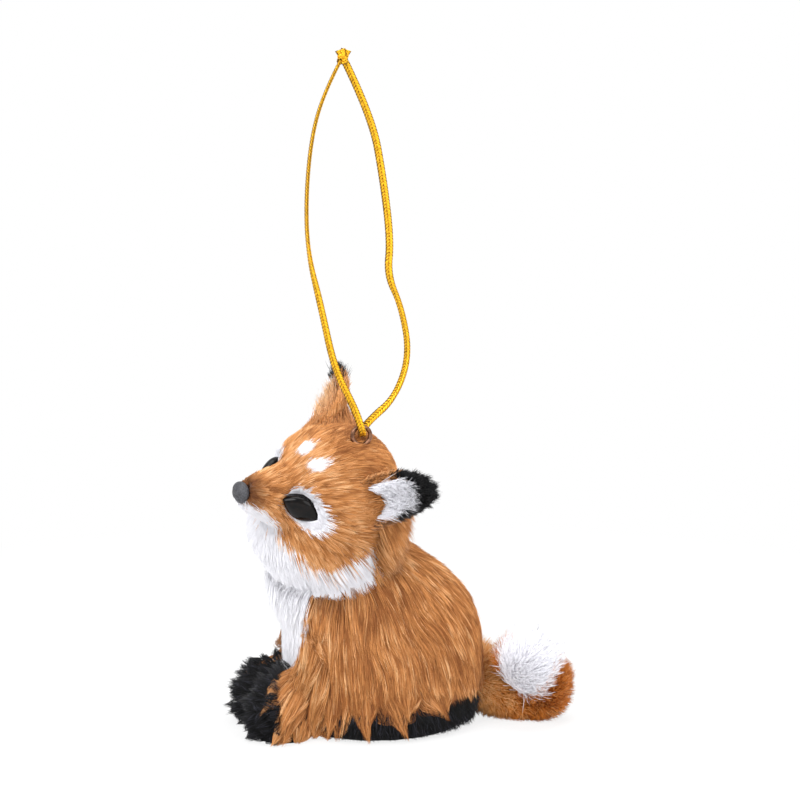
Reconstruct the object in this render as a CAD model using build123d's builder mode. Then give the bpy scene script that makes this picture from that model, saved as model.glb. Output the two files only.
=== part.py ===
import os
from math import cos, pi, radians, sin, tan

from build123d import *

# Sitting fox ornament with a cord loop.
# Frame: +X is the fox's left, -Y is where it faces, +Z is up.
# The origin is the centre of the flat underside. Sizes are in millimetres.

# Pelt, backing and clearances
pelt_thickness = 1.6
bite = 4.0

# Body: a pear shape that leans forward into the neck
body_width = 42.0
body_length = 46.0
body_height = 50.0
body_neck_lead = 12.0
base_height = 5.5
base_sole = 0.9
board_thickness = 1.6
bib_width = 17.0
bib_foot_width = 11.0
bib_foot_height = 8.0
bib_shoulder_height = 28.0

# Head: where its middle stands over the base, how it turns and leans to its left
head_left = 3.0
head_lead = 12.6
head_rise = 59.5
head_turn = 16.0
head_tilt = 27.0
head_width = 35.0
head_length = 30.0
head_crown = 10.6
head_throat = 22.0
muzzle_reach = 22.6
muzzle_length = 16.0
muzzle_root_radius = 7.6
muzzle_drop = 3.4
muzzle_nose_drop = 0.6

# Face
nose_width = 5.6
nose_height = 4.4
nose_depth = 4.2
nose_reach = 23.4
peg_diameter = 1.8
peg_length = 5.0
eye_length = 9.4
eye_height = 5.8
eye_bulge = 1.5
eye_sink = 1.4
eye_lead = 11.4
eye_spread = 8.9
eye_rise = 0.0
eye_outward = 57.0
eye_slant = 18.0
patch_length = 13.6
patch_height = 10.4
brow_length = 6.4
brow_width = 3.6
brow_lead = 7.9
brow_spread = 4.1
brow_outward = 25.0

# Ears: cupped leaves
ear_length = 15.5
ear_width = 13.0
ear_thickness = 1.2
ear_lining_thickness = 0.8
ear_lining_margin = 1.7
ear_root_drop = 3.2
ear_cup_radius = 15.0
ear_cup_depth = 1.6
ear_root_back = 6.0
ear_root_spread = 13.4
ear_root_rise = 4.8
ear_tip_back = 10.4
ear_tip_spread = 24.1
ear_tip_rise = 14.0
ear_outward = 29.0

# Front paws
paw_width = 13.0
paw_length = 14.0
paw_height = 15.5
paw_spread = 15.5
paw_lead = 25.0

# Tail: a wire core in two pelt sleeves, curled to the fox's left
tail_reach = 38.5
tail_curl = 13.5
tail_top = 18.0
tail_radius = 4.3
tail_wire_diameter = 1.4
tail_wire_bend = 3.0

# Wooden dowel between the two cores
dowel_diameter = 6.0
dowel_length = 24.0
dowel_chamfer = 0.6
dowel_foot_height = 33.0

# Screw eye in the crown
eye_screw_wire = 1.0
eye_screw_ring = 4.3
eye_screw_shank = 9.0
ring_left = 7.1
ring_lead = 6.1
ring_rise = 70.8

# Flat braided cord, from the knot down to the ring and back up
cord_width = 1.8
knot_width = 3.2
knot_depth = 2.8
knot_height = 2.8
knot_tail = 1.2
knot_tail_diameter = 1.44
knot_tail_leans = (-42.0, 38.0)
knot_left = 7.1
knot_lead = 10.2
knot_rise = 158.0

# Sections of the body from the base up:
# height, set forward, half width, front and back reach, as shares of its sizes
body_section_shares = [
    (0.00, 0.00, 0.91, 0.89, 0.87),
    (0.24, 0.00, 1.00, 0.97, 1.02),
    (0.48, 0.05, 0.93, 0.965, 1.02),
    (0.70, 0.33, 0.64, 0.91, 0.89),
    (0.86, 0.83, 0.50, 0.77, 0.70),
    (1.00, 1.00, 0.44, 0.69, 0.65),
]

# Sections of the skull below and above its middle:
# height, set back, half width, front and back reach, as shares of its sizes
head_section_shares = [
    (-1.00, 0.00, 0.55, 0.60, 0.42),
    (-0.66, 0.05, 1.01, 1.02, 0.70),
    (-0.27, 0.15, 0.98, 1.12, 0.77),
    (0.20, 0.25, 0.90, 1.16, 0.74),
    (0.70, 0.26, 0.68, 0.80, 0.60),
    (1.00, 0.26, 0.20, 0.22, 0.20),
]

# Outline of the muzzle above its axis: reach and radius, as shares of its length and root radius
muzzle_outline_shares = [(0.00, 1.00), (0.45, 0.90), (0.80, 0.56), (1.00, 0.36)]

# Nose from its back to its tip: set along its depth and half breadth, as shares of its sizes
nose_section_shares = [(-0.50, 0.78), (-0.20, 1.00), (0.15, 0.94), (0.38, 0.66), (0.50, 0.30)]

# Widest point of the ear's leaf: half width and height, as shares of its own
ear_shoulder_share = 0.80
ear_shoulder_rise_share = 0.52

# White fur of the chin, throat and cheeks, seen from the side:
# reach forward and height, as shares of the head's half length and its throat depth
throat_outline_shares = [
    (1.80, -0.13),
    (1.05, -0.44),
    (0.50, -0.84),
    (0.05, -0.80),
    (-0.44, -0.32),
    (-0.90, -1.40),
    (1.80, -1.40),
]

# Front paw from the floor up: height, set back, half width, front and back reach, as shares
paw_section_shares = [
    (0.00, 0.00, 0.84, 0.86, 0.90),
    (0.36, 0.00, 1.00, 1.00, 1.00),
    (0.78, 0.12, 0.80, 0.78, 0.86),
    (1.00, 0.26, 0.30, 0.30, 0.36),
]

# Stations along the tail: to the left, back, up, and radius, as shares of its curl, reach, top and radius
tail_station_shares = [
    (0.00, 0.44, 0.66, 1.00),
    (0.04, 0.60, 0.54, 1.02),
    (0.16, 0.74, 0.32, 1.02),
    (0.40, 0.89, 0.25, 1.00),
    (0.66, 0.99, 0.37, 1.02),
]
tail_tip_station_shares = [
    (0.66, 0.99, 0.37, 1.02),
    (0.82, 0.96, 0.58, 1.34),
    (0.93, 0.87, 0.80, 1.44),
    (0.99, 0.79, 0.98, 1.22),
    (1.00, 0.75, 1.08, 0.60),
]

# Knot from its foot up: height and half breadth, as shares of its sizes
knot_section_shares = [(-0.50, 0.60), (-0.20, 0.98), (0.20, 0.98), (0.50, 0.50)]

# Route of the cord's middle line: left, back, up
cord_route = [
    (6.9, -11.2, 157.8),
    (7.3, -14.6, 151.2),
    (7.7, -17.7, 141.6),
    (8.0, -18.9, 127.6),
    (8.3, -18.7, 114.4),
    (8.5, -15.2, 101.6),
    (8.8, -11.4, 87.0),
    (9.1, -7.0, 77.4),
    (9.1, -6.15, 71.0),
    (5.1, -6.05, 71.0),
    (4.6, -4.2, 74.2),
    (5.0, 1.0, 79.6),
    (5.6, 4.9, 90.6),
    (5.9, 2.6, 103.8),
    (6.2, 1.2, 115.4),
    (6.4, -0.5, 130.4),
    (6.6, -3.0, 144.6),
    (7.0, -8.9, 157.4),
]
cord_arc_share = 0.45
ring_bend_radius = 1.75


def egg(half_width, front, back, front_angle=45.0, back_angle=45.0):
    """Closed outline of six tangent arcs, widest on the local X axis, front towards -Y."""
    with BuildLine() as outline:
        for reach, angle, way, start in ((back, back_angle, 1, 0), (front, front_angle, -1, 180)):
            slope = radians(angle)
            excess = (reach - half_width) / (cos(slope) + sin(slope) - 1)
            side, tip = excess * cos(slope), excess * sin(slope)
            CenterArc((-way * side, 0), half_width + side, start, angle)
            CenterArc((0, way * tip), reach - tip, start + angle, 180 - 2 * angle)
            CenterArc((way * side, 0), half_width + side, start + 180 - angle, angle)
    return outline.edges()


def level(base, back, up):
    """A plane parallel to base, moved back and up in base's own directions."""
    return Plane(origin=base.from_local_coords((0, back, up)), x_dir=base.x_dir, z_dir=base.z_dir)


def body_solid(inset):
    """The body's pear, drawn in all round by inset."""
    with BuildPart() as pear:
        for up, lead, half, front, back in body_section_shares:
            with BuildSketch(level(Plane.XY, -lead * body_neck_lead, up * body_height)):
                make_face(egg(
                    half * body_width / 2 - inset,
                    front * body_length / 2 - inset,
                    back * body_length / 2 - inset,
                ))
        loft()
    return pear.part


def skull_solid(inset):
    """The head with its muzzle, drawn in all round by inset."""
    half_width, half_length = head_width / 2, head_length / 2
    with BuildPart() as skull:
        for up, back_set, half, front, back in head_section_shares:
            depth = head_crown - inset if up > 0 else head_throat - inset
            with BuildSketch(level(head_plane, back_set * half_length, up * depth)):
                make_face(egg(
                    half * half_width - inset,
                    front * half_length - inset,
                    back * half_length - inset,
                ))
        loft()
    root = head_plane.from_local_coords((0, muzzle_length - muzzle_reach, -muzzle_drop))
    end = head_plane.from_local_coords((0, -muzzle_reach, -muzzle_nose_drop))
    with BuildPart() as muzzle:
        with BuildSketch(Plane(origin=root, x_dir=end - root, z_dir=head_plane.x_dir)):
            rim = [
                (along * (muzzle_length - inset), radius * muzzle_root_radius - inset)
                for along, radius in muzzle_outline_shares
            ]
            with BuildLine():
                ThreePointArc(*rim[:3])
                Line(rim[2], rim[3])
                Line(rim[3], (rim[3][0], 0))
                Line((rim[3][0], 0), (0, 0))
                Line((0, 0), rim[0])
            make_face()
        revolve(axis=Axis(root, end - root))
    with BuildPart() as head:
        add(skull.part)
        add(muzzle.part)
    return head.part


def paw_solid(side):
    """One front paw; side is 1 for the fox's left and -1 for its right."""
    with BuildPart() as paw:
        for up, back_set, half, front, back in paw_section_shares:
            spot = (side * paw_spread / 2, -paw_lead + back_set * paw_length, up * paw_height)
            with BuildSketch(Plane(origin=spot)):
                make_face(egg(half * paw_width / 2, front * paw_length / 2, back * paw_length / 2))
        loft()
    return paw.part


def tail_solid(stations):
    """A sleeve through round sections square to the tail's middle line."""
    spots = [Vector(left * tail_curl, back * tail_reach, up * tail_top) for left, back, up, _ in stations]
    with BuildPart() as sleeve:
        for index, (spot, station) in enumerate(zip(spots, stations)):
            before, after = spots[max(index - 1, 0)], spots[min(index + 1, len(spots) - 1)]
            along = tail_join_direction if spot == tail_join else after - before
            with BuildSketch(Plane(origin=spot, x_dir=(1, 0, 0), z_dir=along)):
                Circle(station[3] * tail_radius)
        loft()
    return sleeve.part


# Planes of the head and of its paired features
head_place = Location((head_left, -head_lead, head_rise), (0, 0, head_turn)) * Location((0, 0, 0), (0, head_tilt, 0))
head_plane = Plane(head_place)


def face_plane(side, lead, spread, rise, outward, slant=0.0):
    """Plane on the face, its Z axis looking outward; side is 1 for the fox's left."""
    spot = head_plane.from_local_coords((side * spread, -lead, rise))
    out, across = radians(outward), radians(slant)
    along = (side * cos(out) * cos(across), sin(out) * cos(across), -sin(across))
    normal = (side * sin(out), -cos(out), 0)
    return Plane(
        origin=spot,
        x_dir=head_plane.from_local_coords(along) - head_plane.origin,
        z_dir=head_plane.from_local_coords(normal) - head_plane.origin,
    )


# Whole shapes that the pieces are cut from
torso_outer = body_solid(0)
torso_core = body_solid(pelt_thickness)
head_outer = skull_solid(0)
head_core = skull_solid(pelt_thickness)
tail_join = Vector(
    tail_tip_station_shares[0][0] * tail_curl,
    tail_tip_station_shares[0][1] * tail_reach,
    tail_tip_station_shares[0][2] * tail_top,
)
tail_join_direction = Vector(
    (tail_tip_station_shares[1][0] - tail_station_shares[-2][0]) * tail_curl,
    (tail_tip_station_shares[1][1] - tail_station_shares[-2][1]) * tail_reach,
    (tail_tip_station_shares[1][2] - tail_station_shares[-2][2]) * tail_top,
)

# Screw eye: the ring stands in the YZ plane on a shank screwed down into the crown
ring_centre = Vector(ring_left, -ring_lead, ring_rise)
ring_foot = ring_centre - Vector(0, 0, eye_screw_ring / 2)
with BuildPart() as screw_eye:
    with Locations(Plane(origin=ring_centre, z_dir=(1, 0, 0))):
        Torus(eye_screw_ring / 2, eye_screw_wire / 2)
    with BuildSketch(Plane(origin=ring_foot, z_dir=(0, 0, -1))):
        Circle(eye_screw_wire / 2)
    extrude(amount=eye_screw_shank)
screw_eye.part.label = "screw_eye"

# Dowel from the body's core into the head's core
with BuildPart() as neck_dowel:
    with BuildSketch(Plane(origin=(0, -body_neck_lead, dowel_foot_height))):
        Circle(dowel_diameter / 2)
    extrude(amount=dowel_length)
    chamfer(neck_dowel.edges().filter_by(GeomType.CIRCLE), dowel_chamfer)
neck_dowel.part.label = "neck_dowel"

# Tail wire, from inside the body's core to the middle of the white tip
wire_stations = tail_station_shares + tail_tip_station_shares[1:-1]
wire_spots = [(left * tail_curl, back * tail_reach, up * tail_top) for left, back, up, _ in wire_stations]
wire_start = (0, wire_spots[0][1] - tail_radius * 2, wire_spots[0][2])
with BuildPart() as tail_wire:
    with BuildLine():
        wire_path = FilletPolyline(wire_start, *wire_spots, radius=tail_wire_bend)
    with BuildSketch(Plane(origin=wire_path @ 0, z_dir=wire_path % 0)):
        Circle(tail_wire_diameter / 2)
    sweep()
tail_wire.part.label = "tail_wire"

# Nose: a moulded button with a peg
nose_spot = head_plane.from_local_coords((0, -nose_reach, 0))
nose_plane = Plane(origin=nose_spot, x_dir=head_plane.x_dir, z_dir=-head_plane.y_dir)
with BuildPart() as nose:
    for reach, half in nose_section_shares:
        with BuildSketch(nose_plane.offset(reach * nose_depth)):
            Ellipse(half * nose_width / 2, half * nose_height / 2)
    loft()
    with BuildSketch(nose_plane.offset(-nose_depth / 2)):
        Circle(peg_diameter / 2)
    extrude(amount=-peg_length)
nose.part.label = "nose"

# Eyes: almond domes with a shank, each in a white patch of the head's pelt
eyes, eye_patches, brow_patches = {}, {}, {}
for name, side in (("left", 1), ("right", -1)):
    eye_plane = face_plane(side, eye_lead, eye_spread, eye_rise, eye_outward, eye_slant)
    half_length, half_height = eye_length / 2, eye_height / 2
    bow = (half_length**2 + half_height**2) / (2 * half_height)
    with BuildPart() as eye:
        with BuildSketch(eye_plane.offset(-eye_sink)):
            with BuildLine():
                RadiusArc((-half_length, 0), (half_length, 0), bow)
                RadiusArc((half_length, 0), (-half_length, 0), bow)
            make_face()
        extrude(amount=eye_sink + eye_bulge + bite)
        dome_radius = (half_length**2 + eye_bulge**2) / (2 * eye_bulge)
        with Locations(eye_plane.offset(eye_bulge - dome_radius)):
            Sphere(dome_radius, mode=Mode.INTERSECT)
        with BuildSketch(eye_plane.offset(-eye_sink)):
            Circle(peg_diameter / 2)
        extrude(amount=-peg_length)
    eye.part.label = f"eye_{name}"
    eyes[name] = eye
    with BuildPart() as eye_patch:
        with BuildSketch(eye_plane.offset(-bite)):
            Ellipse(patch_length / 2, patch_height / 2)
        extrude(amount=2 * bite)
        add(head_outer, mode=Mode.INTERSECT)
        add([head_core, eye.part], mode=Mode.SUBTRACT)
    eye_patch.part.label = f"eye_patch_{name}"
    eye_patches[name] = eye_patch
    brow_plane = face_plane(side, brow_lead, brow_spread, head_crown - pelt_thickness, brow_outward)
    with BuildPart() as brow_patch:
        with BuildSketch(Plane(origin=brow_plane.origin, x_dir=brow_plane.z_dir, z_dir=head_plane.z_dir)):
            Ellipse(brow_length / 2, brow_width / 2)
        extrude(amount=bite, both=True)
        add(head_outer, mode=Mode.INTERSECT)
        add([head_core, eye_patch.part], mode=Mode.SUBTRACT)
    brow_patch.part.label = f"brow_patch_{name}"
    brow_patches[name] = brow_patch

# Ears: a leaf cut from a hollow ball, with a smaller white leaf inside the cup
ears, ear_linings = {}, {}
for name, side in (("left", 1), ("right", -1)):
    root = head_plane.from_local_coords((side * ear_root_spread, ear_root_back, ear_root_rise))
    tip = head_plane.from_local_coords((side * ear_tip_spread, ear_tip_back, ear_tip_rise))
    along = (tip - root).normalized()
    out = radians(ear_outward)
    facing = head_plane.from_local_coords((side * sin(out), -cos(out), 0)) - head_plane.origin
    across = along.cross(facing)
    ear_plane = Plane(origin=root, x_dir=across, z_dir=across.cross(along))
    cup = level(ear_plane, ear_length / 2, ear_cup_radius - ear_cup_depth)
    for store, label, margin, inner, outer in (
        (ears, "ear", 0.0, ear_cup_radius, ear_cup_radius + ear_thickness),
        (ear_linings, "ear_lining", ear_lining_margin, ear_cup_radius - ear_lining_thickness, ear_cup_radius),
    ):
        half_ear, top = ear_width / 2 - margin, ear_length - margin
        shoulder, shoulder_rise = ear_shoulder_share * half_ear, ear_shoulder_rise_share * top
        with BuildPart() as leaf:
            with Locations(cup):
                Sphere(outer)
                Sphere(inner, mode=Mode.SUBTRACT)
            with BuildSketch(ear_plane.offset(-ear_cup_depth - bite)):
                with BuildLine():
                    ThreePointArc((0, top), (shoulder, shoulder_rise), (half_ear, 0))
                    Line((half_ear, 0), (half_ear, -ear_root_drop))
                    Line((half_ear, -ear_root_drop), (-half_ear, -ear_root_drop))
                    Line((-half_ear, -ear_root_drop), (-half_ear, 0))
                    ThreePointArc((-half_ear, 0), (-shoulder, shoulder_rise), (0, top))
                make_face()
            extrude(amount=ear_cup_radius, mode=Mode.INTERSECT)
            add(head_outer, mode=Mode.SUBTRACT)
        leaf.part.label = f"{label}_{name}"
        store[name] = leaf

# Cores: shaped foam for the body and the head, a board under the body
board_top = Plane.XY.offset(base_sole + board_thickness)
with BuildPart() as base_board:
    add(torso_core)
    split(bisect_by=board_top, keep=Keep.BOTTOM)
    split(bisect_by=Plane.XY.offset(base_sole), keep=Keep.TOP)
base_board.part.label = "base_board"

with BuildPart() as body_form:
    add(torso_core)
    split(bisect_by=board_top, keep=Keep.TOP)
    add([head_outer, neck_dowel.part, tail_wire.part], mode=Mode.SUBTRACT)
body_form.part.label = "body_form"

with BuildPart() as head_form:
    add(head_core)
    add([neck_dowel.part, screw_eye.part, nose.part], mode=Mode.SUBTRACT)
    add([eye.part for eye in eyes.values()], mode=Mode.SUBTRACT)
head_form.part.label = "head_form"

# Pelts over the cores: white under the chin and cheeks, orange over the crown
throat_outline = [(lead * head_length / 2, rise * head_throat) for lead, rise in throat_outline_shares]
with BuildPart() as throat_block:
    with BuildSketch(Plane(origin=head_plane.origin, x_dir=-head_plane.y_dir, z_dir=-head_plane.x_dir)):
        with BuildLine():
            Polyline(*throat_outline, close=True)
        make_face()
    extrude(amount=head_width, both=True)

inlays = [neck_dowel.part, screw_eye.part, nose.part]
for set_in in (eyes, eye_patches, brow_patches):
    inlays += [piece.part for piece in set_in.values()]

with BuildPart() as throat_pelt:
    add(head_outer)
    add(throat_block.part, mode=Mode.INTERSECT)
    add([head_core, *inlays], mode=Mode.SUBTRACT)
throat_pelt.part.label = "throat_pelt"

with BuildPart() as crown_pelt:
    add(head_outer)
    add([throat_block.part, head_core, *inlays], mode=Mode.SUBTRACT)
crown_pelt.part.label = "head_pelt"

with BuildPart() as bib_block:
    with BuildSketch(Plane.XZ.offset(body_length)):
        with BuildLine():
            Polyline(
                (-bib_foot_width / 2, bib_foot_height),
                (bib_foot_width / 2, bib_foot_height),
                (bib_width / 2, bib_shoulder_height),
                (bib_width / 2, body_height + bite),
                (-bib_width / 2, body_height + bite),
                (-bib_width / 2, bib_shoulder_height),
                close=True,
            )
        make_face()
    extrude(amount=-(body_length - body_neck_lead))

with BuildPart() as torso_shell:
    add(torso_outer)
    split(bisect_by=Plane.XY.offset(base_height), keep=Keep.TOP)
    add([torso_core, head_outer, neck_dowel.part, tail_wire.part], mode=Mode.SUBTRACT)

with BuildPart() as chest_bib:
    add(torso_shell.part)
    add(bib_block.part, mode=Mode.INTERSECT)
chest_bib.part.label = "chest_bib"

with BuildPart() as torso_pelt:
    add(torso_shell.part)
    add(bib_block.part, mode=Mode.SUBTRACT)
torso_pelt.part.label = "torso_pelt"

# Black plush round the base and under its board
with BuildPart() as base_plush:
    add(torso_outer)
    split(bisect_by=Plane.XY.offset(base_height), keep=Keep.BOTTOM)
    add([base_board.part, body_form.part], mode=Mode.SUBTRACT)
base_plush.part.label = "base_plush"

# Black front paws, against the chest
paws = {}
for name, side in (("left", 1), ("right", -1)):
    with BuildPart() as front_paw:
        add(paw_solid(side))
        add(torso_outer, mode=Mode.SUBTRACT)
    front_paw.part.label = f"front_paw_{name}"
    paws[name] = front_paw

# Tail sleeves
with BuildPart() as tail_pelt:
    add(tail_solid(tail_station_shares))
    add([torso_outer, tail_wire.part], mode=Mode.SUBTRACT)
tail_pelt.part.label = "tail_pelt"

with BuildPart() as tail_tip:
    add(tail_solid(tail_tip_station_shares))
    add(tail_wire.part, mode=Mode.SUBTRACT)
tail_tip.part.label = "tail_tip"

# Cord: straight runs joined by arcs as large as the runs allow, tight only round the ring
cord_spots = [Vector(*spot) for spot in cord_route]
cord_radii = []
for before, corner, after in zip(cord_spots, cord_spots[1:], cord_spots[2:]):
    turn = radians((corner - before).get_angle(after - corner))
    shorter = min((corner - before).length, (after - corner).length)
    at_ring = ring_foot.Z < corner.Z < ring_centre.Z + cord_width
    cord_radii.append(ring_bend_radius if at_ring else cord_arc_share * shorter / tan(turn / 2))
with BuildPart() as hanging_cord:
    with BuildLine():
        cord_path = FilletPolyline(*cord_spots, radius=cord_radii)
    with BuildSketch(Plane(origin=cord_path @ 0, z_dir=cord_path % 0)):
        Circle(cord_width / 2)
    sweep()
hanging_cord.part.label = "hanging_cord"
print("cord radii", [round(radius, 1) for radius in cord_radii])
print("cord length", round(cord_path.length, 1))
print("cord volume over section times length", round(
    hanging_cord.part.volume / (pi * (cord_width / 2) ** 2 * cord_path.length), 4))

# Knot in the two ends, with its cut-off tails
with BuildPart() as cord_knot:
    knot_plane = Plane(origin=(knot_left, -knot_lead, knot_rise))
    for up, half in knot_section_shares:
        with BuildSketch(knot_plane.offset(up * knot_height)):
            Ellipse(half * knot_depth / 2, half * knot_width / 2)
    loft()
    for lean in knot_tail_leans:
        tail_axis = Vector(0, sin(radians(lean)), cos(radians(lean)))
        with BuildSketch(Plane(origin=knot_plane.origin, z_dir=tail_axis)):
            Circle(knot_tail_diameter / 2)
        extrude(amount=knot_height / 2 + knot_tail)
    add(hanging_cord.part, mode=Mode.SUBTRACT)
cord_knot.part.label = "cord_knot"

pieces = [
    screw_eye, neck_dowel, tail_wire, nose, base_board, body_form, head_form, throat_pelt, crown_pelt,
    chest_bib, torso_pelt, base_plush, tail_pelt, tail_tip, hanging_cord, cord_knot,
    *eyes.values(), *eye_patches.values(), *brow_patches.values(), *ears.values(), *ear_linings.values(),
    *paws.values(),
]
os.makedirs("parts", exist_ok=True)
for piece in pieces:
    export_step(piece.part, f"parts/{piece.part.label}.step")
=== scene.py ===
"""A small sitting fox ornament in long fur, dressed around its packed construction model.

The coat is made of fine tapered hairs that grow from skins and follow combing directions. Sizes inside the
helpers are in millimetres, in the frame of the model: +X is the fox's left, -Y is its front, +Z is up.
"""

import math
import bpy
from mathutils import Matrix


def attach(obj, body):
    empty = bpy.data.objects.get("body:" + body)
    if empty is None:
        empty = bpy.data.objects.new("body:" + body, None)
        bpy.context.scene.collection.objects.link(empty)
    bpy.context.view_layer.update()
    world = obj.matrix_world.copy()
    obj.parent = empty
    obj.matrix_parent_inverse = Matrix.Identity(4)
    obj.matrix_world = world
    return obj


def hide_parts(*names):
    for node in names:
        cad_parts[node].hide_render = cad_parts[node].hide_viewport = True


bl_info = {
    "name": "Fox Ornament",
    "version": (1, 0, 0),
    "blender": (4, 5, 0),
    "location": "View3D > Sidebar > Fox",
    "description": "Fur, face, cord loop and studio for a small sitting fox ornament",
    "category": "Object",
}

import bpy
import numpy as np
from bpy.props import FloatProperty, FloatVectorProperty, IntProperty, PointerProperty
from mathutils import Vector
from mathutils.bvhtree import BVHTree
from mathutils.kdtree import KDTree

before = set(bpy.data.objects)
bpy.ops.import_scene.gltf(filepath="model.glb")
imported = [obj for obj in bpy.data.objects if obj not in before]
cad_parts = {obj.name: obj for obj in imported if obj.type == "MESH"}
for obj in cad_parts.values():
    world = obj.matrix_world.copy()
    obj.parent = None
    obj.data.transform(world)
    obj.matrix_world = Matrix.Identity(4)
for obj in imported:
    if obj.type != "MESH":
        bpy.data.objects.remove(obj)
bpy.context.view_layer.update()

MM = 0.001
FOX, LOOP = "fox", "loop"
COLOUR = "Coat"
ATLAS = "OFBake"
MOST_TRIANGLES = 190_000
FLOOR_GAP = 0.15

# The most that a hair is lifted out of a skin, and how early along a hair its rise comes
MOST_LIFT = 4.0
RISE_EASE = 1.4
# Between these heights over and under its hem, a coat lets go of the skin
HEM_ABOVE, HEM_BELOW = 1.0, 4.0

# The head's middle and its own directions: forward, to its left, and up through the crown
HEAD_MIDDLE = np.array((3.0, -12.6, 59.5))
HEAD_TURN, HEAD_TILT = math.radians(16.0), math.radians(27.0)
HEAD_FORWARD = np.array((math.sin(HEAD_TURN), -math.cos(HEAD_TURN), 0.0))
HEAD_LEFT = np.array((
    math.cos(HEAD_TURN) * math.cos(HEAD_TILT),
    math.sin(HEAD_TURN) * math.cos(HEAD_TILT),
    -math.sin(HEAD_TILT),
))
HEAD_UP = np.cross(HEAD_FORWARD, HEAD_LEFT)
HEAD_AXES = np.array((HEAD_FORWARD, HEAD_LEFT, HEAD_UP))

# Route of the cord's middle line in millimetres: from the knot down to the ring and back
CORD_ROUTE = [
    (6.9, -10.7, 157.6),
    (7.3, -14.3, 151.2),
    (7.7, -17.6, 141.6),
    (8.0, -19.2, 127.6),
    (8.3, -19.0, 114.4),
    (8.5, -15.9, 101.6),
    (8.8, -12.9, 87.0),
    (9.1, -8.2, 77.8),
    (9.1, -5.9, 71.0),
    (5.1, -5.9, 71.0),
    (4.6, -3.6, 73.8),
    (5.0, 2.6, 79.0),
    (5.5, 6.0, 89.0),
    (5.8, 3.9, 100.5),
    (6.1, 0.4, 108.0),
    (6.2, 1.2, 116.0),
    (6.4, -0.6, 130.4),
    (6.6, -3.3, 144.6),
    (6.9, -9.6, 157.2),
]
# The knot's middle, in millimetres
KNOT_MIDDLE = np.array((6.95, -10.1, 157.9))
# The braid's width and pitch where it is pulled into the knot, as shares of those along the cord
KNOT_TIGHT, KNOT_PITCH = 0.75, 0.6

# Which way the flat braid's width points: share of the way along the cord, then the direction
BRAID_TURNS = [
    (0.00, (0.93, -0.05, 0.17)),
    (0.23, (0.93, 0.05, 0.17)),
    (0.31, (0.70, 0.70, 0.10)),
    (0.42, (0.45, 0.90, 0.00)),
    (0.47, (0.05, 1.00, 0.00)),
    (0.52, (0.05, 1.00, 0.00)),
    (0.57, (0.75, 0.60, 0.10)),
    (0.69, (0.80, 0.55, 0.10)),
    (0.74, (0.30, 0.95, 0.00)),
    (1.00, (0.40, 0.90, 0.00)),
]


# Right and up in the photograph's view
VIEW_RIGHT = (0.2588, 0.9659, 0.0)
VIEW_UP = (-0.1677, 0.0449, 0.9848)


# Small vector helpers

def unit(vectors):
    """The vectors at length one."""
    return vectors / np.maximum(np.linalg.norm(vectors, axis=-1, keepdims=True), 1e-9)


def smooth(values, low, high):
    """From 0 below low to 1 above high, eased at both ends. High may be the smaller one."""
    share = np.clip((values - low) / (high - low), 0.0, 1.0)
    return share * share * (3.0 - 2.0 * share)


def to_head(points):
    """World places as forward, left and up from the head's middle."""
    return (points - HEAD_MIDDLE) @ HEAD_AXES.T


def from_head(points):
    """Places given as forward, left and up from the head's middle, in the world."""
    return np.asarray(points, float) @ HEAD_AXES + HEAD_MIDDLE


def waves(points, size, seed, rounds=4):
    """A soft pattern over places, about -1 to 1, whose patches are about size across."""
    rng = np.random.default_rng(seed)
    total = np.zeros(len(points))
    for _ in range(rounds * 3):
        heading = unit(rng.normal(size=3)) * (2 * math.pi / size) * rng.uniform(0.6, 1.5)
        total += np.sin(points @ heading + rng.uniform(0, 2 * math.pi))
    return total / math.sqrt(rounds * 3 / 2) / 1.6


def inside_outline(across, along, outline):
    """Which of the points lie inside a closed outline in a plane."""
    inside = np.zeros(len(across), bool)
    for (x0, y0), (x1, y1) in zip(outline, outline[1:] + outline[:1]):
        crosses = (y0 > along) != (y1 > along)
        rise = y1 - y0 if y1 != y0 else 1e-9
        inside ^= crosses & (across < (x1 - x0) * (along - y0) / rise + x0)
    return inside


def along_line(points, line):
    """Each point's distance from a line through places, and the line's direction there."""
    best = np.full(len(points), np.inf)
    ways = np.zeros_like(points)
    for start, end in zip(line[:-1], line[1:]):
        run = end - start
        share = np.clip((points - start) @ run / (run @ run), 0, 1)
        gap = np.linalg.norm(points - start - share[:, None] * run, axis=1)
        closer = gap < best
        best[closer] = gap[closer]
        ways[closer] = unit(run)
    return best, ways


# Skins

def node_mesh(name):
    """World vertices, in millimetres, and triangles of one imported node."""
    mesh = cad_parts[name].data
    mesh.calc_loop_triangles()
    spots = np.empty(len(mesh.vertices) * 3)
    mesh.vertices.foreach_get("co", spots)
    faces = np.empty(len(mesh.loop_triangles) * 3, dtype=np.int64)
    mesh.loop_triangles.foreach_get("vertices", faces)
    return spots.reshape(-1, 3) / MM, faces.reshape(-1, 3)


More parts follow.
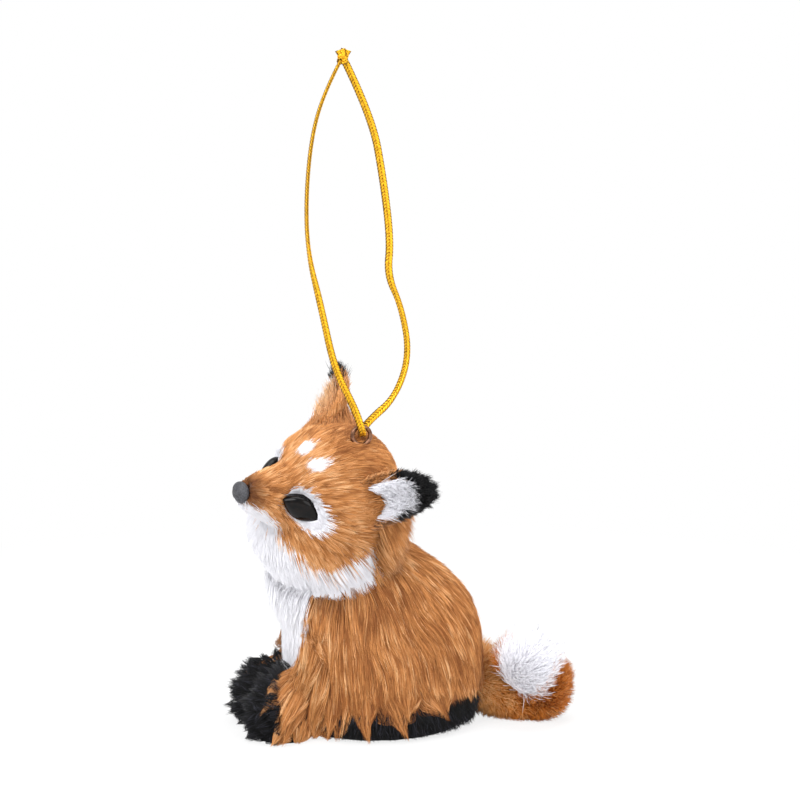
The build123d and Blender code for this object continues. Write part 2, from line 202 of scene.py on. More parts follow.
class Skin:
    """A surface that hair grows on, with smooth normals and a tree for its nearest points."""

    def __init__(self, spots, faces):
        self.spots, self.faces = np.asarray(spots, float), np.asarray(faces)
        corners = self.spots[self.faces]
        face_normals = np.cross(corners[:, 1] - corners[:, 0], corners[:, 2] - corners[:, 0])
        self.areas = np.linalg.norm(face_normals, axis=1) / 2
        self.normals = np.zeros_like(self.spots)
        for corner in range(3):
            np.add.at(self.normals, self.faces[:, corner], face_normals)
        self.normals = unit(self.normals)
        self.tree = BVHTree.FromPolygons(self.spots.tolist(), self.faces.tolist())

    def scatter(self, rng, count, keep=None):
        """Random places over the skin with their normals; keep gives the share kept at each place."""
        chosen = rng.choice(len(self.faces), size=count, p=self.areas / self.areas.sum())
        first, second = np.sqrt(rng.random(count)), rng.random(count)
        weights = np.stack((1 - first, first * (1 - second), first * second), axis=1)
        corners = self.faces[chosen]
        spots = np.einsum("ij,ijk->ik", weights, self.spots[corners])
        normals = unit(np.einsum("ij,ijk->ik", weights, self.normals[corners]))
        if keep is not None:
            kept = rng.random(count) < keep(spots, normals)
            spots, normals = spots[kept], normals[kept]
        return spots, normals

    def settle(self, points):
        """The nearest place on the skin to each point, and the smooth normal there."""
        places, found = np.empty_like(points), np.empty(len(points), dtype=np.int64)
        for index, point in enumerate(points.tolist()):
            place, _, face, _ = self.tree.find_nearest(point)
            places[index], found[index] = place, face
        corners = self.spots[self.faces[found]]
        gaps = np.linalg.norm(corners - places[:, None], axis=2) + 1e-4
        weights = (1 / gaps) / (1 / gaps).sum(axis=1, keepdims=True)
        normals = unit(np.einsum("ij,ijk->ik", weights, self.normals[self.faces[found]]))
        return places, normals

    def height(self, points):
        """How far each point stands outside the skin, negative inside it."""
        places, normals = self.settle(points)
        return ((points - places) * normals).sum(axis=1)

    def lift(self, lines, gap):
        """Moves the points of hairs that run into this skin out of it, to gap above it."""
        points = lines.reshape(-1, 3)
        places, normals = self.settle(points)
        short = np.maximum(gap - ((points - places) * normals).sum(axis=1), 0)
        return (points + normals * np.minimum(short, MOST_LIFT)[:, None]).reshape(lines.shape)


def ball_faces(rows, columns):
    """Unit directions and triangles of a globe with its poles on the Z axis."""
    spots = [(0.0, 0.0, 1.0)]
    for row in range(1, rows):
        lean = math.pi * row / rows
        for column in range(columns):
            turn = 2 * math.pi * column / columns
            spots.append((math.sin(lean) * math.cos(turn), math.sin(lean) * math.sin(turn), math.cos(lean)))
    spots.append((0.0, 0.0, -1.0))
    faces = [(0, 1 + column, 1 + (column + 1) % columns) for column in range(columns)]
    for row in range(rows - 2):
        start, below = 1 + row * columns, 1 + (row + 1) * columns
        for column in range(columns):
            after = (column + 1) % columns
            faces.append((start + column, below + column, below + after))
            faces.append((start + column, below + after, start + after))
    last = len(spots) - 1
    start = 1 + (rows - 2) * columns
    faces += [(start + (column + 1) % columns, start + column, last) for column in range(columns)]
    return np.array(spots), np.array(faces)


def wrapped_skin(nodes, middle, pole, rows=90, columns=120, rounds=3, ease=0.5, most=math.inf):
    """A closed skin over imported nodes: a globe's directions are cast back onto their outside.

    Rounds and ease say how often and how far it is smoothed, and most is its largest reach from the middle.
    """
    spots, faces, start = [], [], 0
    for name in nodes:
        places, triangles = node_mesh(name)
        spots.append(places)
        faces.append(triangles + start)
        start += len(places)
    spots, faces = np.concatenate(spots), np.concatenate(faces)
    tree = BVHTree.FromPolygons(spots.tolist(), faces.tolist())
    ways, triangles = ball_faces(rows, columns)
    pole = unit(np.asarray(pole, float))
    side = unit(np.cross(pole, (0.31, 0.2, 0.93)))
    ways = ways @ np.array((side, np.cross(pole, side), pole))
    far = np.linalg.norm(spots - middle, axis=1).max() + 1.0
    reach = np.zeros(len(ways))
    for index, way in enumerate(ways.tolist()):
        way = Vector(way)
        place = tree.ray_cast(Vector(middle) + way * far, -way)[0]
        reach[index] = (place - Vector(middle)).length if place else 0.0
    reach = np.minimum(np.where(reach > 0, reach, np.median(reach)), most)
    grown = ways * reach[:, None] + middle
    ends = triangles[:, (0, 1, 2)].ravel(), triangles[:, (1, 2, 0)].ravel()
    for _ in range(rounds):
        total, number = np.zeros_like(grown), np.zeros(len(grown))
        np.add.at(total, ends[0], grown[ends[1]])
        np.add.at(number, ends[0], 1)
        grown += ease * (total / number[:, None] - grown)
    return grown, triangles


EYE_SOCKET_DEPTH, MUZZLE_LEAD = 1.5, 0.9


def head_surface():
    """The head's skin, sunk behind the eyes so that they stand free, and let out at the muzzle."""
    middle = from_head((1.0, 0.0, -4.0))
    spots, faces = wrapped_skin(HEAD_NODES, middle, HEAD_FORWARD, rounds=4)
    sunk = EYE_SOCKET_DEPTH * eye_oval(to_head(spots), (-0.2, -0.2), (5.6, 3.8), 0.3)
    let_out = MUZZLE_LEAD * smooth(to_head(spots)[:, 0], 16.0, 21.0)
    return spots - unit(spots - middle) * sunk[:, None] + HEAD_FORWARD * let_out[:, None], faces


HEAD_NODES = ["head_pelt", "throat_pelt", "eye_patch_left", "eye_patch_right", "brow_patch_left",
              "brow_patch_right"]
BODY_NODES = ["torso_pelt", "chest_bib", "base_plush"]
PAW_NODES = ["front_paw_left", "front_paw_right"]
SKIN_MAKERS = {
    "head": head_surface,
    "body": lambda: wrapped_skin(BODY_NODES, np.array((0.0, -4.0, 20.0)), (0, 0, 1)),
    "mantle": lambda: wrapped_skin(BODY_NODES + PAW_NODES, np.array((0.0, -6.0, 17.0)), (0, 0, 1), rounds=4),
}
SKINS = {}


def skin_of(name):
    """One of the fox's skins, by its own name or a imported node's, made when first asked for."""
    if name not in SKINS:
        SKINS[name] = Skin(*(SKIN_MAKERS[name]() if name in SKIN_MAKERS else node_mesh(name)))
    return SKINS[name]


# Meshes

def new_object(name, mesh):
    """Links a mesh to the scene as an object."""
    piece = bpy.data.objects.new(name, mesh)
    bpy.context.scene.collection.objects.link(piece)
    return piece


def mesh_of(name, spots, faces):
    """A smooth mesh from places in millimetres and an array of triangles."""
    mesh = bpy.data.meshes.new(name)
    spots, faces = np.asarray(spots, float), np.asarray(faces)
    mesh.vertices.add(len(spots))
    mesh.vertices.foreach_set("co", (spots * MM).ravel())
    mesh.loops.add(faces.size)
    mesh.loops.foreach_set("vertex_index", faces.ravel().astype(np.int32))
    mesh.polygons.add(len(faces))
    mesh.polygons.foreach_set("loop_start", np.arange(0, faces.size, 3, dtype=np.int32))
    mesh.polygons.foreach_set("use_smooth", np.ones(len(faces), bool))
    mesh.update(calc_edges=True)
    return mesh


def paint(mesh, colours):
    """Stores a colour for each vertex, read by the coat and the gold yarn."""
    layer = mesh.color_attributes.new(COLOUR, "FLOAT_COLOR", "POINT")
    full = np.ones((len(colours), 4))
    full[:, :3] = colours
    layer.data.foreach_set("color", full.ravel())


def add_piece(name, mesh, material, body, replaced=()):
    """A finished piece that rides on a body, with its material; the imported nodes it replaces are hidden."""
    mesh.materials.append(material)
    piece = new_object(name, mesh)
    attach(piece, body)
    if replaced:
        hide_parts(*replaced)
    return piece


def hair_lines(skin, roots, normals, flow, reach, rise, steps, cling=1.0, hem=None):
    """Middle lines of hairs that run over the skin along flow and end rise above it, free below the hem."""
    count = len(roots)
    reach, rise, cling = (np.broadcast_to(value, count)[:, None] for value in (reach, rise, cling))
    lines, over, before = [roots], normals, None
    for step in range(1, steps + 1):
        share = step / steps
        heading = flow(lines[-1], over)
        heading = unit(heading + over * (rise / np.maximum(reach, 0.1)) * (1.5 - share))
        held_share = cling
        if hem is not None:
            held_share = cling * smooth(lines[-1][:, 2:], hem - HEM_BELOW, hem + HEM_ABOVE)
        if before is not None:
            heading = unit(heading * held_share + before * (1 - held_share))
        free = lines[-1] + heading * reach / steps
        places, under = skin.settle(free)
        held = places + under * rise * share ** (1 / RISE_EASE)
        lines.append(free + held_share * (held - free))
        over, before = under, heading
    return np.stack(lines, axis=1)


def loose_lines(roots, normals, along, reach, stand, bend, steps):
    """Middle lines of hairs that stand off the skin and bend over towards along."""
    count = len(roots)
    reach, stand, bend = (np.broadcast_to(value, count)[:, None] for value in (reach, stand, bend))
    start = unit(normals * stand + along * (1 - stand))
    lines = [roots]
    for step in range(1, steps + 1):
        heading = unit(start + along * bend * step / steps)
        lines.append(lines[-1] + heading * reach / steps)
    return np.stack(lines, axis=1)


def gather(lines, rng, every, pull, spread=0.0, taper=0.0):
    """Draws hairs into tufts: each leans to the nearest of a few leading hairs, most at its tip.

    Taper shortens the hairs that start away from their leader, so a tuft ends in a point.
    """
    count, rings = lines.shape[:2]
    leaders = rng.choice(count, size=max(count // every, 1), replace=False)
    tree = KDTree(len(leaders))
    for index, leader in enumerate(leaders.tolist()):
        tree.insert(lines[leader, 0].tolist(), index)
    tree.balance()
    found = [tree.find(root)[1:] for root in lines[:, 0].tolist()]
    nearest, away = np.array([item[0] for item in found]), np.array([item[1] for item in found])
    leading = lines[leaders][nearest]
    strength = pull * rng.uniform(0.6, 1.3, len(leaders))[nearest] * rng.uniform(0.7, 1.1, count)
    shares = np.linspace(0, 1, rings) ** 1.3
    scale = (1 - taper * np.clip(away / np.percentile(away, 90), 0, 1))
    scale = (scale * (1 - 0.5 * taper * rng.random(len(leaders))[nearest]))[:, None, None]
    own = (lines - lines[:, :1]) * scale
    led = (leading - leading[:, :1]) * scale + (leading[:, :1] - lines[:, :1]) * shares[None, :, None]
    drawn = own + (led - own) * (np.clip(strength, 0, 0.95)[:, None] * shares)[..., None]
    if spread:
        drawn += rng.normal(size=(count, 1, 3)) * (spread * shares ** 2)[None, :, None]
    return lines[:, :1] + drawn, nearest


def hair_pattern(rings):
    """One hair's triangles, and the places of their corners in its cell of the baking atlas."""
    solid, left, right = rings - 1, 0.1, 0.9
    faces, cells = [], []
    for ring in range(solid - 1):
        low, high = (ring + 0.3) / rings, (ring + 1.3) / rings
        for corner in range(3):
            here, after = 3 * ring + corner, 3 * ring + (corner + 1) % 3
            faces += [(after, here, here + 3), (after, here + 3, after + 3)]
            cells += [((right, low), (left, low), (left, high)), ((right, low), (left, high), (right, high))]
    top = 3 * (solid - 1)
    low, high = (solid - 0.7) / rings, 0.95
    for corner in range(3):
        faces.append((top + (corner + 1) % 3, top + corner, 3 * solid))
        cells.append(((right, low), (left, low), (0.5, high)))
    faces.append((0, 1, 2))
    cells.append(((left, 0.05), (right, 0.05), (0.5, 0.3 / rings)))
    return np.array(faces), np.array(cells)


def add_atlas(mesh, count, cells):
    """Lays the hairs of a mesh out in the baking atlas, each in its own cell."""
    columns = math.ceil(math.sqrt(count * 2.2))
    rows = math.ceil(count / columns)
    cell = np.arange(count)
    places = np.stack((cell % columns, cell // columns), axis=1)[:, None, None, :] + cells[None]
    places = places / np.array((columns, rows))
    layer = mesh.uv_layers.new(name=ATLAS)
    layer.uv.foreach_set("vector", places.reshape(-1, 3, 2).ravel().astype(np.float32))


def hair_mesh(name, lines, widths, normals, root_colours, tip_colours, skin_share):
    """One mesh of closed tapering hairs, three-sided, each with its own cell in the baking atlas."""
    count, rings = lines.shape[:2]
    solid = rings - 1
    lines = lines.copy()
    lines[..., 2] = np.maximum(lines[..., 2], FLOOR_GAP)
    ways = unit(np.gradient(lines, axis=1))
    sides = unit(np.cross(ways, normals[:, None, :]))
    ups = np.cross(sides, ways)
    shares = np.linspace(0, 1, rings)
    profile = (0.75 + 0.5 * shares[:solid]) * np.sqrt(1 - shares[:solid] ** 2)
    radii = np.broadcast_to(widths, count)[:, None] / 2 * profile[None, :]
    verts = np.empty((count, 3 * solid + 1, 3))
    looks = np.empty_like(verts)
    for corner in range(3):
        turn = 2 * math.pi * corner / 3 + math.pi / 2
        around = math.cos(turn) * sides[:, :solid] + math.sin(turn) * ups[:, :solid]
        verts[:, corner:3 * solid:3] = lines[:, :solid] + around * radii[..., None]
        looks[:, corner:3 * solid:3] = unit(around * (1 - skin_share) + normals[:, None, :] * skin_share)
    verts[:, -1] = lines[:, -1]
    looks[:, -1] = normals
    verts[..., 2] = np.maximum(verts[..., 2], FLOOR_GAP * 0.6)

    faces, cells = hair_pattern(rings)
    step = verts.shape[1]
    all_faces = (faces[None] + (np.arange(count) * step)[:, None, None]).reshape(-1, 3)
    mesh = mesh_of(name, verts.reshape(-1, 3), all_faces)
    add_atlas(mesh, count, cells)

    # Each hair is painted darker towards its root: painted shade deep in the coat, together with the orange
    # fur's own darker underfur
    ring_shares = np.append(np.repeat(shares[:solid], 3), 1.0)[None, :, None]
    colours = root_colours[:, None] + (tip_colours - root_colours)[:, None] * ring_shares ** 0.7
    paint(mesh, np.clip(colours, 0.002, 1).reshape(-1, 3))
    mesh.normals_split_custom_set_from_vertices(looks.reshape(-1, 3).astype(np.float32))
    return mesh


def hair_pieces(name, lines, widths, normals, root_colours, tip_colours, group=None, skin_share=0.6):
    """Splits hairs into pieces of a size the export keeps whole, and makes each one ride on the fox."""
    count, rings = lines.shape[:2]
    each = 6 * (rings - 2) + 4
    order = np.argsort(group, kind="stable") if group is not None else np.arange(count)
    parts = math.ceil(count * each / MOST_TRIANGLES)
    for index, part in enumerate(np.array_split(order, parts)):
        label = name if parts == 1 else f"{name}_{index + 1}"
        width = widths[part] if np.ndim(widths) else widths
        mesh = hair_mesh(label, lines[part], width, normals[part], root_colours[part], tip_colours[part],
                         skin_share)
        add_piece(label, mesh, coat_material(), FOX)


def skin_piece(name, skin, colours, nodes):
    """The backing that shows between the hairs."""
    mesh = mesh_of(name, skin.spots, skin.faces)
    paint(mesh, np.broadcast_to(colours, skin.spots.shape))
    return add_piece(name, mesh, coat_material(), FOX, nodes)


# Colours and materials

def screen(red, green, blue):
    """A colour picked as it looks on screen, 0 to 255, in the renderer's own values."""
    values = np.array((red, green, blue)) / 255
    return np.where(values > 0.04045, ((values + 0.055) / 1.055) ** 2.4, values / 12.92)


# Deep tones colour the roots of the hairs, where they are painted shade deep in the coat together with the
# orange fur's own darker underfur; they also set the dark end of the random tones
ORANGE_DEEP = screen(150, 90, 44)
ORANGE = screen(214, 146, 84)
ORANGE_PALE = screen(242, 196, 146)
RUST_DEEP = screen(150, 77, 15)
RUST = screen(221, 131, 44)
RUST_PALE = screen(244, 196, 136)
WHITE_DEEP = screen(222, 221, 228)
WHITE = screen(246, 246, 251)
BLACK_DEEP = screen(3, 3, 5)
BLACK = screen(9, 9, 12)
# Painted highlight on the tips of some black hairs
BLACK_PALE = screen(78, 78, 90)
UMBER = screen(86, 48, 26)


def plain_material(name, roughness, base=(0.5, 0.5, 0.5), **values):
    """A new material's node tree and shader, with constants on the shader's own sockets."""
    material = bpy.data.materials.new(name)
    material.use_nodes = True
    shader = next(item for item in material.node_tree.nodes if item.type == "BSDF_PRINCIPLED")
    shader.inputs["Base Color"].default_value = (*base, 1.0)
    shader.inputs["Roughness"].default_value = roughness
    for socket, value in values.items():
        shader.inputs[socket.replace("_", " ")].default_value = value
    return material, material.node_tree, shader


def node(tree, kind, **values):
    """A new node with its input sockets set by name."""
    made = tree.nodes.new(kind)
    for socket, value in values.items():
        made.inputs[socket.replace("_", " ")].default_value = value
    return made


def link(tree, source, output, target, entry):
    """Joins an output socket to an input socket."""
    tree.links.new(source.outputs[output], target.inputs[entry])


def fine_bump(tree, shader, scale, strength, distance, detail=4.0, stretch=(1, 1, 1)):
    """A small noise relief on a shader."""
    place = tree.nodes.new("ShaderNodeTexCoord")
    mapping = node(tree, "ShaderNodeMapping", Scale=stretch)
    noise = node(tree, "ShaderNodeTexNoise", Scale=scale, Detail=detail)
    bump = node(tree, "ShaderNodeBump", Strength=strength, Distance=distance)
    link(tree, place, "Object", mapping, "Vector")
    link(tree, mapping, "Vector", noise, "Vector")
    link(tree, noise, "Fac", bump, "Height")
    link(tree, bump, "Normal", shader, "Normal")
    return noise


def tinted(tree, shader, noise, dark, light, low=0.35, high=0.65):
    """Colours a shader from a noise, between two tones."""
    ramp = tree.nodes.new("ShaderNodeValToRGB")
    ramp.color_ramp.elements[0].position = low
    ramp.color_ramp.elements[0].color = (*dark, 1)
    ramp.color_ramp.elements[1].position = high
    ramp.color_ramp.elements[1].color = (*light, 1)
    link(tree, noise, "Fac", ramp, "Fac")
    link(tree, ramp, "Color", shader, "Base Color")


def painted(tree, shader, scale, low, high):
    """Colours a shader from the painted colours, with a faint mottle."""
    colour = tree.nodes.new("ShaderNodeVertexColor")
    colour.layer_name = COLOUR
    place = tree.nodes.new("ShaderNodeTexCoord")
    noise = node(tree, "ShaderNodeTexNoise", Scale=scale, Detail=2.0)
    shade = node(tree, "ShaderNodeMapRange", To_Min=low, To_Max=high)
    mix = tree.nodes.new("ShaderNodeVectorMath")
    mix.operation = "SCALE"
    link(tree, place, "Object", noise, "Vector")
    link(tree, noise, "Fac", shade, "Value")
    link(tree, colour, "Color", mix, 0)
    link(tree, shade, "Result", mix, "Scale")
    link(tree, mix, "Vector", shader, "Base Color")


def coat_material():
    """Fur: the colour comes from each hair, with a faint mottle over the coat."""
    if "fox coat" in bpy.data.materials:
        return bpy.data.materials["fox coat"]
    material, tree, shader = plain_material("fox coat", 0.55, Specular_IOR_Level=0.16, Sheen_Weight=0.08,
                                            Sheen_Roughness=0.5)
    painted(tree, shader, scale=420.0, low=0.9, high=1.1)
    return material


def tones(deep, middle, pale, amounts):
    """Colours between three tones, for amounts from 0 to 1."""
    amounts = np.clip(amounts, 0, 1)[:, None]
    low = deep + (middle - deep) * np.minimum(amounts * 2, 1)
    return low + (pale - middle) * np.maximum(amounts * 2 - 1, 0)


def ginger(amount, root_amount=None):
    """Root and tip colours of orange hairs; root_amount is for roots darker than their tips."""
    root_amount = amount if root_amount is None else root_amount
    return tones(UMBER, ORANGE_DEEP, ORANGE, root_amount), tones(ORANGE_DEEP, ORANGE, ORANGE_PALE, amount)


def blend_to(colours, other, share):
    """Moves colours towards another by a share each."""
    return colours + (other - colours) * np.asarray(share)[:, None]


# Combing directions

NOSE_END = from_head((23.5, 0.0, 0.5))
EYE_PLACES = [from_head((11.6, side * 8.8, 0.0)) for side in (1, -1)]
SHOULDERS = np.array((0.0, -9.0, 48.0))
DOWN = np.array((0.0, 0.0, -1.0))
EAR_ROOT, EAR_TIP = np.array((-6.0, 13.4, 4.8)), np.array((-10.4, 24.1, 14.0))
EAR_OUTWARD = math.radians(29.0)
EAR_LENGTH, EAR_HALF_WIDTH = 13.8, 5.5
EAR_DRAW = (0.86, 0.8)


def ear_frame(side):
    """An ear's root, its direction to the tip, towards its outer edge, and the way its cup faces."""
    flip = np.array((1, side, 1))
    root, tip = from_head(EAR_ROOT * flip), from_head(EAR_TIP * flip)
    along = unit(tip - root)
    facing = np.array((math.cos(EAR_OUTWARD), side * math.sin(EAR_OUTWARD), 0.0)) @ HEAD_AXES
    outer = unit(np.cross(along, facing)) * side
    return root, along, outer, np.cross(outer, along) * side


def along_skin(ways, normals):
    """Directions laid flat on the skin."""
    return unit(ways - normals * (ways * normals).sum(axis=1, keepdims=True))


def head_flow(points, normals):
    """Back from the nose, round the eyes, up the ears, and down at the back of the cheeks."""
    ways = unit(points - NOSE_END)
    for eye in EYE_PLACES:
        gap = points - eye
        near = np.exp(-(np.linalg.norm(gap, axis=1) / 6.0) ** 2)
        ways = ways + unit(gap) * near[:, None] * 0.7
    for side in (1, -1):
        root, along, _, _ = ear_frame(side)
        near = np.exp(-(np.linalg.norm(points - root, axis=1) / 6.0) ** 2)
        ways = ways + along * near[:, None] * 1.3
    forward, _, up = to_head(points).T
    low = smooth(up, -3.0, -12.0) * smooth(forward, 19.0, 7.0)
    ways = ways + (DOWN + (0.0, 0.35, 0.0)) * (1.4 * low)[:, None]
    return unit(along_skin(ways, normals) + normals * (0.3 * low)[:, None])


def near_ears(points):
    """1 at the root of either ear and 0 away from it."""
    gaps = [np.linalg.norm(points - ear_frame(side)[0], axis=1) for side in (1, -1)]
    return np.exp(-(np.minimum(*gaps) / 5.5) ** 2)


def body_flow(points, normals):
    """Fanned out from the shoulders and hanging, swept forward over the front paws."""
    ways = unit(points - SHOULDERS) + DOWN * 0.35
    front = smooth(points[:, 1], -8.0, -20.0) * smooth(points[:, 2], 32.0, 14.0)
    ways[:, 1] -= 0.55 * front
    ways[:, 2] -= 0.5 * over_paw(points)
    ways += np.cross(ways, normals) * (0.16 * waves(points, 11.0, 21))[:, None]
    return along_skin(ways, normals)


# The lower edge of the orange on the head, as forward and up from its middle: below it the fur is white
WHITE_JAW = [
    (30.0, -0.6), (24.0, -0.8), (20.0, -2.0), (17.5, -4.2), (15.4, -6.5), (13.6, -8.6), (11.4, -10.8),
    (8.7, -12.3), (5.8, -11.8), (2.0, -8.8), (-2.4, -6.0), (-6.0, -4.6), (-9.0, -7.0), (-10.0, -30.0),
    (30.0, -30.0),
]

# The eyes and brow spots, in the head's directions, for the left side of the face
EYE_SPOT = np.array((11.9, 8.6, -0.6))
EYE_FACING = np.array((0.545, 0.839, 0.0))
EYE_ALONG = np.array((-0.798, 0.518, -0.309))
EYE_ACROSS = np.cross(EYE_FACING, EYE_ALONG)
EYE_HALVES, EYE_SINK = (5.0, 2.95), 0.9
EYE_BULGE, EYE_BACK, EYE_POINTED = 1.6, 1.4, 0.75
BROW_MIDDLE = np.array((8.6, 3.0, 7.2))
BROW_ALONG = unit(np.array((-0.80, 0.10, 0.45)))
BROW_ACROSS = unit(np.array((0.10, 0.95, -0.35)))


def oval_share(local, middle, along, across, centre, halves, edge=0.35):
    """1 inside an oval on either side of the face and 0 outside, with a soft edge."""
    folded = local.copy()
    folded[:, 1] = np.abs(folded[:, 1])
    gap = folded - middle
    size = np.hypot((gap @ along - centre[0]) / halves[0], (gap @ across - centre[1]) / halves[1])
    return smooth(size, 1.0 + edge / 2, 1.0 - edge / 2)


def eye_oval(local, centre, halves, edge=0.35):
    """An oval in the plane of the eye: to its outer corner, then up."""
    return oval_share(local, EYE_SPOT, EYE_ALONG, EYE_ACROSS, centre, halves, edge)


def brow_oval(local, halves, edge=0.6):
    """The pale spot over the eye."""
    return oval_share(local, BROW_MIDDLE, BROW_ALONG, BROW_ACROSS, (0, 0), halves, edge)


def head_tone(local, spots, lively):
    """Root and tip colours for hairs of the head; lively shifts each one's tone."""
    rng = np.random.default_rng(31)
    count = len(spots)
    forward, left, up = local.T
    crown = 0.24 * smooth(forward, 8.0, 0.0) * smooth(up, 0.0, 6.0)
    forehead = 0.16 * smooth(forward, 3.0, 9.0) * smooth(up, 2.0, 8.0)
    amount = 0.5 + 0.09 * waves(spots, 7.0, 5) + lively - crown
    amount += forehead + 0.12 * smooth(left, -6.0, -11.0)
    root, tip = ginger(amount)
    dark_nose = smooth(forward, 18.5, 22.5) * smooth(up, -3.0, 0.5)
    tip, root = blend_to(tip, UMBER, dark_nose * 0.8), blend_to(root, UMBER, dark_nose * 0.8)
    jitter = rng.normal(0, 0.5, (count, 2))
    white = inside_outline(forward + jitter[:, 0], up + jitter[:, 1], WHITE_JAW).astype(float)
    patch = eye_oval(local, (0.9, 0.3), (5.7, 4.1), 0.2)
    brow = brow_oval(local, (2.5, 1.7))
    white = np.maximum(white, (np.maximum(patch, brow) > rng.random(count)).astype(float))
    pale = np.clip(0.8 + rng.normal(0, 0.12, count), 0, 1)
    white_tip = WHITE_DEEP + (WHITE - WHITE_DEEP) * pale[:, None]
    tip, root = blend_to(tip, white_tip, white), blend_to(root, WHITE_DEEP, white)
    dark = (eye_oval(local, (-5.0, -0.2), (1.0, 0.4)) > 0.5).astype(float)
    return blend_to(root, BLACK_DEEP, dark), blend_to(tip, BLACK, dark)


def grow_head(count, reach_crown, width):
    """Short fur of the face, crown, cheeks and jaw, with the long ruff behind the cheeks."""
    rng = np.random.default_rng(11)
    skin, body = skin_of("head"), skin_of("body")

    def keep(spots, normals):
        return 1 - eye_oval(to_head(spots), (-0.1, 0.0), (4.4, 2.5), 0.1)

    spots, normals = skin.scatter(rng, count, keep)
    clear = body.height(spots) > -0.8
    spots, normals = spots[clear], normals[clear]
    local = to_head(spots)
    forward, left, up = local.T
    number = len(spots)
    reach = reach_crown - 0.55 * reach_crown * smooth(forward, 10.0, 20.0)
    reach += 2.4 * smooth(forward, 6.0, -4.0) * smooth(up, 2.0, -8.0)
    patch, brow = eye_oval(local, (0.5, 0.2), (6.2, 4.8), 0.5), brow_oval(local, (3.4, 2.6))
    reach *= 1 - np.maximum(0.6 * patch, brow * 0.3)
    reach += 1.6 * near_ears(spots)
    jaw = inside_outline(forward, up, WHITE_JAW)
    ruff = jaw * smooth(forward, 11.0, 4.0) * smooth(up, -4.0, -8.5)
    throat = jaw * smooth(forward, 18.0, 13.0) * smooth(up, -7.0, -11.0)
    free = np.maximum(ruff, 0.75 * throat)
    reach += 1.6 * ruff + 2.4 * throat
    reach *= rng.uniform(0.7 - 0.3 * free, 1.2, number)
    rise = (0.3 + 0.12 * reach) * rng.uniform(0.6, 1.3, number)
    lines = hair_lines(skin, spots, normals, head_flow, reach, rise, steps=3, cling=1 - 0.85 * free)
    hanging = free > 0.2
    lines[hanging] = body.lift(lines[hanging], 0.8)
    lines, small = gather(lines, rng, every=7, pull=0.34 - 0.22 * jaw, spread=0.04)
    lines, large = gather(lines, rng, every=60, pull=0.22 - 0.14 * jaw + 0.35 * ruff, spread=0.06)
    lively = 0.17 * rng.normal(size=number)[small] + 0.09 * rng.normal(size=number)[large]
    lively += 0.12 * rng.normal(size=number) - 0.22 * (rng.random(number) < 0.12)[small]
    root, tip = head_tone(local, spots, lively)
    group = np.round(forward // 8) * 10 + np.sign(left)
    hair_pieces("head_coat", lines, width * rng.uniform(0.7, 1.1, number), normals, root, tip,
                group)


def grow_nape(count, reach, width):
    """Longer hair that falls from the back of the head over the shoulders and hides the neck."""
    rng = np.random.default_rng(18)
    skin, body = skin_of("head"), skin_of("body")

    def keep(spots, normals):
        forward, _, up = to_head(spots).T
        return smooth(forward, -3.0, -6.0) * smooth(up, 5.0, 1.0) * smooth(up, -13.0, -11.0)

    spots, normals = skin.scatter(rng, count, keep)
    clear = body.height(spots) > -0.5
    spots, normals = spots[clear], normals[clear]
    number = len(spots)
    forward, _, up = to_head(spots).T
    along = unit(DOWN + (0.0, 0.25, 0.0) + normals * 0.12 + 0.14 * rng.normal(size=(number, 3)))
    length = reach * (1 - 0.35 * smooth(up, 0.0, 5.0)) * rng.uniform(0.55, 1.15, number)
    lines = body.lift(loose_lines(spots, normals, along, length, stand=0.35, bend=0.8, steps=4), gap=1.4)
    lines, small = gather(lines, rng, every=9, pull=0.4, spread=0.08)
    lines, large = gather(lines, rng, every=90, pull=0.45, spread=0.1, taper=0.2)
    # Painted shade: the nape's hair is darker than the head's, where it lies behind the cheeks
    amount = 0.36 + 0.17 * rng.normal(size=number)[small] + 0.12 * rng.normal(size=number)[large]
    amount += 0.12 * rng.normal(size=number)
    root, tip = ginger(amount)
    hair_pieces("nape_coat", lines, width * rng.uniform(0.8, 1.2, number), normals, root, tip)


def body_white(spots):
    """1 on the white bib down the chest."""
    x, y, z = spots.T
    half = 4.5 + 4.5 * smooth(z, 8.0, 30.0)
    return smooth(half - np.abs(x), -0.5, 0.5) * smooth(y, -13.0, -15.0) * smooth(z, 5.0, 7.0)


def grow_ear_roots(side, name, count, reach, spread, front, width):
    """Fur of the crown that climbs up the root of one ear."""
    rng = np.random.default_rng(40 + side)
    root_spot, to_tip, _, facing = ear_frame(side)
    skin = skin_of("head")

    spots, normals = skin.scatter(rng, count, lambda s, n: np.linalg.norm(s - root_spot, axis=1) < spread)
    number = len(spots)
    gap = spots - root_spot
    near = smooth(np.linalg.norm(gap, axis=1), spread + 0.5, 3.0)
    near *= 1 - front * smooth(gap @ facing, 0.0, 1.5)
    along = unit(to_tip - 0.09 * (gap - np.outer(gap @ to_tip, to_tip)) + 0.12 * rng.normal(size=(number, 3)))
    root, tip = head_tone(to_head(spots), spots, 0.16 * rng.normal(size=number))
    length = 1.5 + (reach - 1.5) * near
    lines = loose_lines(spots, normals, along, length * rng.uniform(0.5, 1.2, number), stand=0.25, bend=0.9,
                        steps=3)
    lines, _ = gather(lines, rng, every=12, pull=0.4, spread=0.12)
    hair_pieces(f"ear_root_{name}", lines, width * rng.uniform(0.8, 1.2, number), normals, root, tip)


def over_paw(spots):
    """1 where the long coat covers the outer side of a front paw."""
    x, y, z = np.abs(spots[:, 0]), spots[:, 1], spots[:, 2]
    past = VIEW_RIGHT[0] * x + VIEW_RIGHT[1] * y
    inner = 8.8 - 3.6 * smooth(z, 9.0, 14.0)
    return smooth(past, -23.4, -21.4) * smooth(x - inner, 0.0, 1.8) * smooth(y, -14.0, -16.0)


